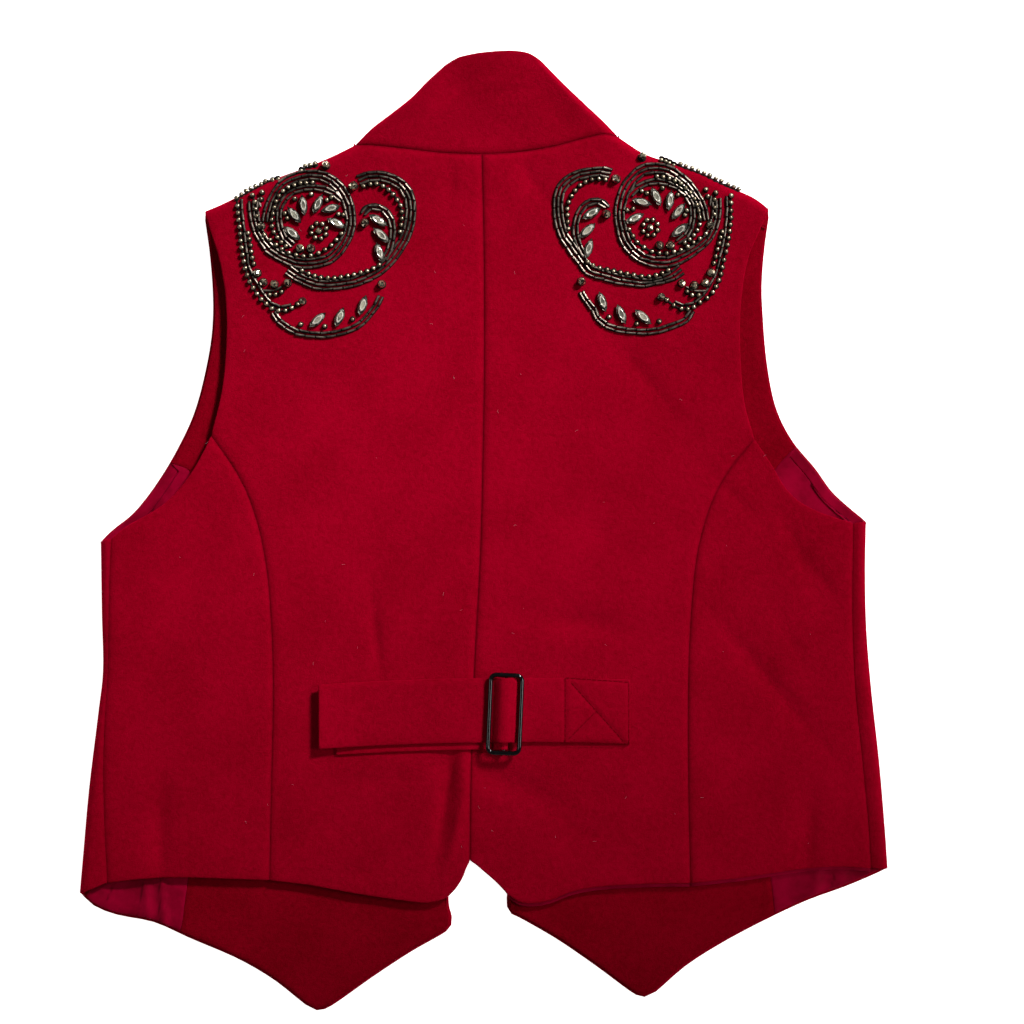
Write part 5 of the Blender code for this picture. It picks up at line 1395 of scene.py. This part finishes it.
LEAVES = [  # (x, y, angle, length)
    (15.4, -0.9, -26, 11.4), (12.2, 7.9, 15, 11.2), (4.4, 10.6, 64, 11.6), (-4.4, 9.8, 98, 11.4),
    (-9.8, 4, 130, 11.4), (-11, -7, 141, 11.8), (40.6, 0.8, -31, 12), (42.4, -8.2, -42, 12),
    (41.2, -18.5, -74, 11.4), (31.2, -50.2, 72, 11.6), (17.4, -57.3, 67, 11.6), (4.2, -59, 42, 11.8),
]
ROSETTE, ROSETTE_BEADS, ROSETTE_TURN = (4.9, -5.6, 4.7), 8, 0.3  # its x, y and radius
beads_in_rows = sum(row[0] for row in ROUND_ROWS)
print(len(TUBE_BANDS) + 1, "bands,", beads_in_rows, "beads in rows,", len(LEAVES), "leaves on each shoulder")

# %% [markdown]
# ## Sewing on
#
# A leaf stone has a pointed oval girdle, a ring of facets and a flat table. It sits in a cup whose rim holds
# it, with a claw at each point. Flat shading keeps its facets crisp. Black thread lies under every row as a
# dark strip, which also paints the shade between the beads, and a dark seat round each bead is thread and
# painted shade.

# %% Sewing the beads on
LEAF_SIDES = 10
leaf_turn = np.linspace(0, math.tau, LEAF_SIDES, endpoint=False)
leaf_half_width = 0.25 * np.sign(np.sin(leaf_turn)) * np.abs(np.sin(leaf_turn)) ** 1.25
LEAF_RING = np.stack([0.5 * np.cos(leaf_turn), leaf_half_width], axis=1)
STONE_ROWS = [(0, 0.02), (0.86, 0.02), (0.9, 0.10), (0.66, 0.20), (0.52, 0.222), (0.38, 0.20), (0, 0.19)]
CUP_ROWS = [(0, -0.04), (0.93, -0.04), (1.04, 0.08), (1.0, 0.135), (0.9, 0.12), (0.84, 0.04)]
# the dark strips under the beads are thread and painted shade
BAND_TAPE, ROW_TAPE = 1.8, 1.3  # widths of the thread under tubes and under round beads
CHART_STEPS, TAPE_STEPS = 160, 90
LEAF_SHAPE, CLAW_SIZE, CLAW_AT = np.array([1, 0.88, 0.9]), (1.9, 1.5, 1.6), 0.47
STONE_LIFT, CUP_LIFT, CLAW_LIFT, SHADE_SEAT_LIFT = THREAD_LIFT + 0.75, THREAD_LIFT + 0.6, THREAD_LIFT + 1.6, 0.03
TAPE_ROWS = np.array([(-0.5, 0.02), (-0.42, 0.40), (0.0, 0.45), (0.42, 0.40), (0.5, 0.02)])  # (share, rise)


def leaf_rings(rows):
    """Rings of the leaf outline at (share, height) rows, closed to a point in the middle."""
    rings = [np.column_stack([LEAF_RING * share, np.full(LEAF_SIDES, height)]) for share, height in rows]
    points = np.stack(rings)
    return points.reshape(-1, 3), grid_faces(numbers(points, closed=True))


STONE, CUPS = leaf_rings(STONE_ROWS), leaf_rings(CUP_ROWS)


def rows_beside(line, offsets):
    """Lines beside a curve of the chart, at offsets counted in rows."""
    fine = through(line, CHART_STEPS)
    return [fine + left_of(fine) * offset * ROW for offset in offsets]


def tape(side, line, width):
    """The black threads under a band, and painted shade between its beads: a low arched strip along a curve
    of the chart.
    """
    middle = shoulder(side, through(line, TAPE_STEPS))
    plan = middle[:, None] + left_of(middle)[:, None] * TAPE_ROWS[None, :, :1] * width
    base, away = on_cloth(plan.reshape(-1, 2))
    rise = np.tile(TAPE_ROWS[:, 1], len(middle))[:, None]
    return base + away * rise, grid_faces(numbers(plan), side is LEFT)


def sew_leaves(side):
    """The leaf stones of one shoulder, each in its cup with two claws."""
    mirror = -side["sign"]
    for number, (x, y, angle, length) in enumerate(LEAVES, 1):
        turn = math.radians(angle)
        way = np.array([[mirror * math.cos(turn), math.sin(turn)]])
        place, size = shoulder(side, (x, y)), length * LEAF_SHAPE
        stone = copies(STONE, place, way, size, STONE_LIFT)
        cup = copies(CUPS, place, way, size, CUP_LIFT)
        ends = np.vstack([place + way * length * CLAW_AT, place - way * length * CLAW_AT])
        claws = copies(CLAW, ends, np.vstack([way, way]), CLAW_SIZE, CLAW_LIFT)
        name = "%s_%02d" % (side["name"], number)
        piece = mesh_piece("leaf_" + name, *stone, CRYSTAL, smooth=False)
        shares = np.repeat([row[0] for row in STONE_ROWS], LEAF_SIDES).astype(np.float32)
        piece.data.attributes.new("share", "FLOAT", "POINT").data.foreach_set("value", shares)
        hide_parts("stone_" + name)
        mesh_piece("cup_" + name, *together(cup, claws), CUP, smooth=False)


def sew_on(side):
    """All the beadwork of one shoulder, with the dark thread and painted shade under it."""
    name = side["name"]
    angle, radius = np.array(ROUNDEL, float).T
    angle = np.radians(angle)
    roundel = list(zip(radius * np.cos(angle), radius * np.sin(angle)))
    bands = {"roundel": ((-1, 0, 1), roundel), **TUBE_BANDS}
    for band, (offsets, line) in bands.items():
        row_beads = [tube_row(side, row) for row in rows_beside(line, offsets)]
        piece = mesh_piece("tubes_" + band + "_" + name, *together(*row_beads), TUBE_GLASS, smooth=False)
        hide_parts("beads_" + band + "_" + name)
    short = [tube_row(side, pair) for pair in SHORT_TUBES]
    mesh_piece("tubes_short_" + name, *together(*short), TUBE_GLASS, smooth=False)
    x, y, radius = ROSETTE
    turns = np.linspace(0, math.tau, ROSETTE_BEADS, endpoint=False) + ROSETTE_TURN
    rosette = np.stack([x + radius * np.cos(turns), y + radius * np.sin(turns)], axis=1)
    round_rows = [through(line, count - 1) for count, line in ROUND_ROWS + EDGE_ROWS[name]]
    places, faceted = np.vstack([*round_rows, SINGLE_ROUNDS, rosette]), np.array(FACETED)
    mesh_piece("round_beads_" + name, *round_beads(side, places), BRASS)
    cut_beads = round_beads(side, faceted[:, :2], faceted[:, 2], CUT)
    mesh_piece("cut_beads_" + name, *cut_beads, CUT_BEAD, smooth=False)
    sew_leaves(side)
    band_rows = [row for offsets, line in bands.values() for row in rows_beside(line, offsets)]
    widths = [BAND_TAPE] * len(band_rows) + [ROW_TAPE] * len(round_rows)
    tapes = [tape(side, line, width) for line, width in zip(band_rows + round_rows, widths)]
    mesh_piece("beading_thread_and_shade_" + name, *together(*tapes), BEADING_AND_SHADE)
    # dark seats round every bead: thread and painted shade
    seated = shoulder(side, np.vstack([places, faceted[:, :2]]))
    wide = np.append(np.full(len(places), BEAD_SIZE), faceted[:, 2])[:, None] * (1, 1, 1)
    shade_seats = copies(SHADE_SEAT, seated, np.tile([1.0, 0.0], (len(seated), 1)), wide, SHADE_SEAT_LIFT)
    mesh_piece("bead_shade_seats_" + name, *shade_seats, BEADING_AND_SHADE)
    print(name, "shoulder:", len(places), "round beads,", len(faceted), "faceted beads")


for side in SIDES:
    sew_on(side)

# %% [markdown]
# ## Sewing thread
#
# The belt's box and cross are machine stitches three millimetres long. Each is a little thread that dives
# into the cloth at both ends.

# %% Stitches on the belt
STITCH_STEP, STITCH_SHARE, THREAD_WIDTH, STITCH_SUNK = 3.1, 0.86, 0.42, 0.30


def stitches():
    """Stitches at equal steps along each line of the box and the cross."""
    painted_shade = []
    ends = [pair for line in SEAMS_ON_BELT for pair in zip(line, line[1:])]
    for start, end in ends:
        length = float(np.linalg.norm(end - start))
        count = max(2, round(length / STITCH_STEP))
        knots = np.linspace(start, end, count + 1)
        middle = (knots[1:] + knots[:-1]) / 2
        ahead = np.array([*(end - start) / length, 0])
        turns = np.stack([ahead, np.cross([0, 0, 1], ahead), [0, 0, 1]])
        shape = (STITCH[0] * (length / count * STITCH_SHARE, THREAD_WIDTH, THREAD_WIDTH)) @ turns
        x, y = middle.T
        height = lie(x, y) + BELT_LIFT + RIPPLE * ripple(x, y, *BELT_WAVE) - STITCH_SUNK
        painted_shade += [(shape + base, STITCH[1]) for base in np.column_stack([middle, height])]
    mesh_piece("belt_stitches", *together(*painted_shade), THREAD)
    print("belt stitches:", len(painted_shade))


stitches()

# %% [markdown]
# ## Lint
#
# Dark wool picks up pale fibres. Some fifty short curved hairs lie here and there on the backs.

# %% Lint
HAIRS, HAIR_RADIUS, HAIR_LIFT, HAIR_POINTS = 52, 0.055, 0.22, 5
LINT_AREA = (-205, -195), (205, 215)  # two corners
HAIR_RANGES = (0, 6.3), (0.7, 2.4), (-0.5, 0.5)  # of its direction, length and bend
BELT_MIDDLE, BELT_CLEAR, BODY_HALF, ARMHOLE_FROM, ARMHOLE_IN = -110, 26, 215, 10, 70  # where no hair lies


def lint():
    """Bent hairs: a parabola with a triangular section, at seeded places clear of the belt and armholes."""
    places = rng.uniform(*LINT_AREA, (HAIRS * 3, 2))
    x, y = places.T
    on_back = np.abs(x) < BODY_HALF - np.clip(y - ARMHOLE_FROM, 0, ARMHOLE_IN)
    places = places[(np.abs(y - BELT_MIDDLE) > BELT_CLEAR) & on_back][:HAIRS]
    count = len(places)
    base, away = on_cloth(places)
    turn, length, bend = (rng.uniform(low, high, count) for low, high in HAIR_RANGES)
    ahead = np.stack([np.cos(turn), np.sin(turn), np.zeros(count)], axis=1)
    aside = np.cross(away, ahead)
    t = np.linspace(-0.5, 0.5, HAIR_POINTS)[None, :, None]
    curve = t * ahead[:, None] + bend[:, None, None] * (4 * t * t - 0.5) * aside[:, None] * 0.5
    spine = base[:, None] + away[:, None] * HAIR_LIFT + length[:, None, None] * curve
    around = np.radians([90, 210, 330])[None, None, :, None]
    section = np.cos(around) * aside[:, None, None] + np.sin(around) * away[:, None, None]
    ring = spine[:, :, None] + HAIR_RADIUS * section
    hairs = [(hair.reshape(-1, 3), grid_faces(numbers(hair, closed=True))) for hair in ring]
    mesh_piece("lint", *together(*hairs), LINT)
    print("hairs of lint:", count)


lint()

# %% [markdown]
# ## The table
#
# The garment lies on a white table that glows a little, so that it stays white beside a dark garment.

# %% Table
def white_table():
    """Opal acrylic, lit a little from inside."""
    acrylic = Finish("table_white", "table", Roughness=0.7, Specular_IOR_Level=0.1, Emission_Strength=1.12)
    colour = acrylic.mix(acrylic.noise(3, 2, 0.5), (0.90, 0.90, 0.90), (0.93, 0.93, 0.93))
    return acrylic.wear(Base_Color=colour, Emission_Color=colour)


TABLE_HALF = 3  # metres
mesh = bpy.data.meshes.new("table")
corners = [(x * TABLE_HALF, y * TABLE_HALF, 0) for x, y in ((-1, -1), (1, -1), (1, 1), (-1, 1))]
mesh.from_pydata(corners, [], [(0, 1, 2, 3)])
mesh.materials.append(white_table())
table = bpy.data.objects.new("table", mesh)
bpy.context.scene.collection.objects.link(table)
print("table", 2 * TABLE_HALF, "m wide")

# %% [markdown]
# ## Light and camera
#
# A strong lamp from the upper right models the folds. Two weak ones, low at the sides, brighten the side
# panels. Each shines from a wide disc, which keeps its shadows soft, and its cone fades out, so that no edge
# of light shows. The camera looks straight down from well above, so that nothing is foreshortened.

# %% Lights and camera
LAMPS = [  # name, place, what it looks at, watts, width of its cone in degrees, radius
    ("key", (1.24, 1.52, 1.40), (-0.05, 0.15, 0), 488, 16.6, 0.30),
    ("right", (0.85, -0.05, 0.7), (0.235, -0.125, 0), 27, 36, 0.25),
    ("left", (-0.85, -0.10, 0.75), (-0.25, -0.13, 0), 9.4, 28, 0.25),
]
for name, place, towards, power, cone, radius in LAMPS:
    lamp = bpy.data.lights.new(name, "SPOT")
    lamp.energy, lamp.shadow_soft_size = power, radius
    lamp.spot_size, lamp.spot_blend = math.radians(cone), 1.0
    way = np.array(towards) - np.array(place)
    stand = bpy.data.objects.new(name, lamp)
    stand.location = place
    stand.rotation_euler = (math.acos(-unit(way)[2]), 0, math.atan2(way[1], way[0]) - math.pi / 2)
    bpy.context.scene.collection.objects.link(stand)
world = bpy.data.worlds.new("studio")
world.use_nodes = True
world.node_tree.nodes["Background"].inputs["Color"].default_value = (1, 1, 1, 1)
world.node_tree.nodes["Background"].inputs["Strength"].default_value = 0.05
bpy.context.scene.world = world
bpy.context.scene.view_settings.view_transform = "Standard"

CENTRE, ACROSS, HEIGHT, BACK_HEIGHT = (0.0171, 0.0105), 0.6144, 2.4, 0.008  # metres
SENSOR = 36  # millimetres
eye = bpy.data.cameras.new("camera")
eye.sensor_width = SENSOR
eye.lens = SENSOR * (HEIGHT - BACK_HEIGHT) / ACROSS
camera = bpy.data.objects.new("camera", eye)
camera.location = (*CENTRE, HEIGHT)
bpy.context.scene.collection.objects.link(camera)
bpy.context.scene.camera = camera
print("camera lens", round(eye.lens, 1), "mm from", HEIGHT, "m")
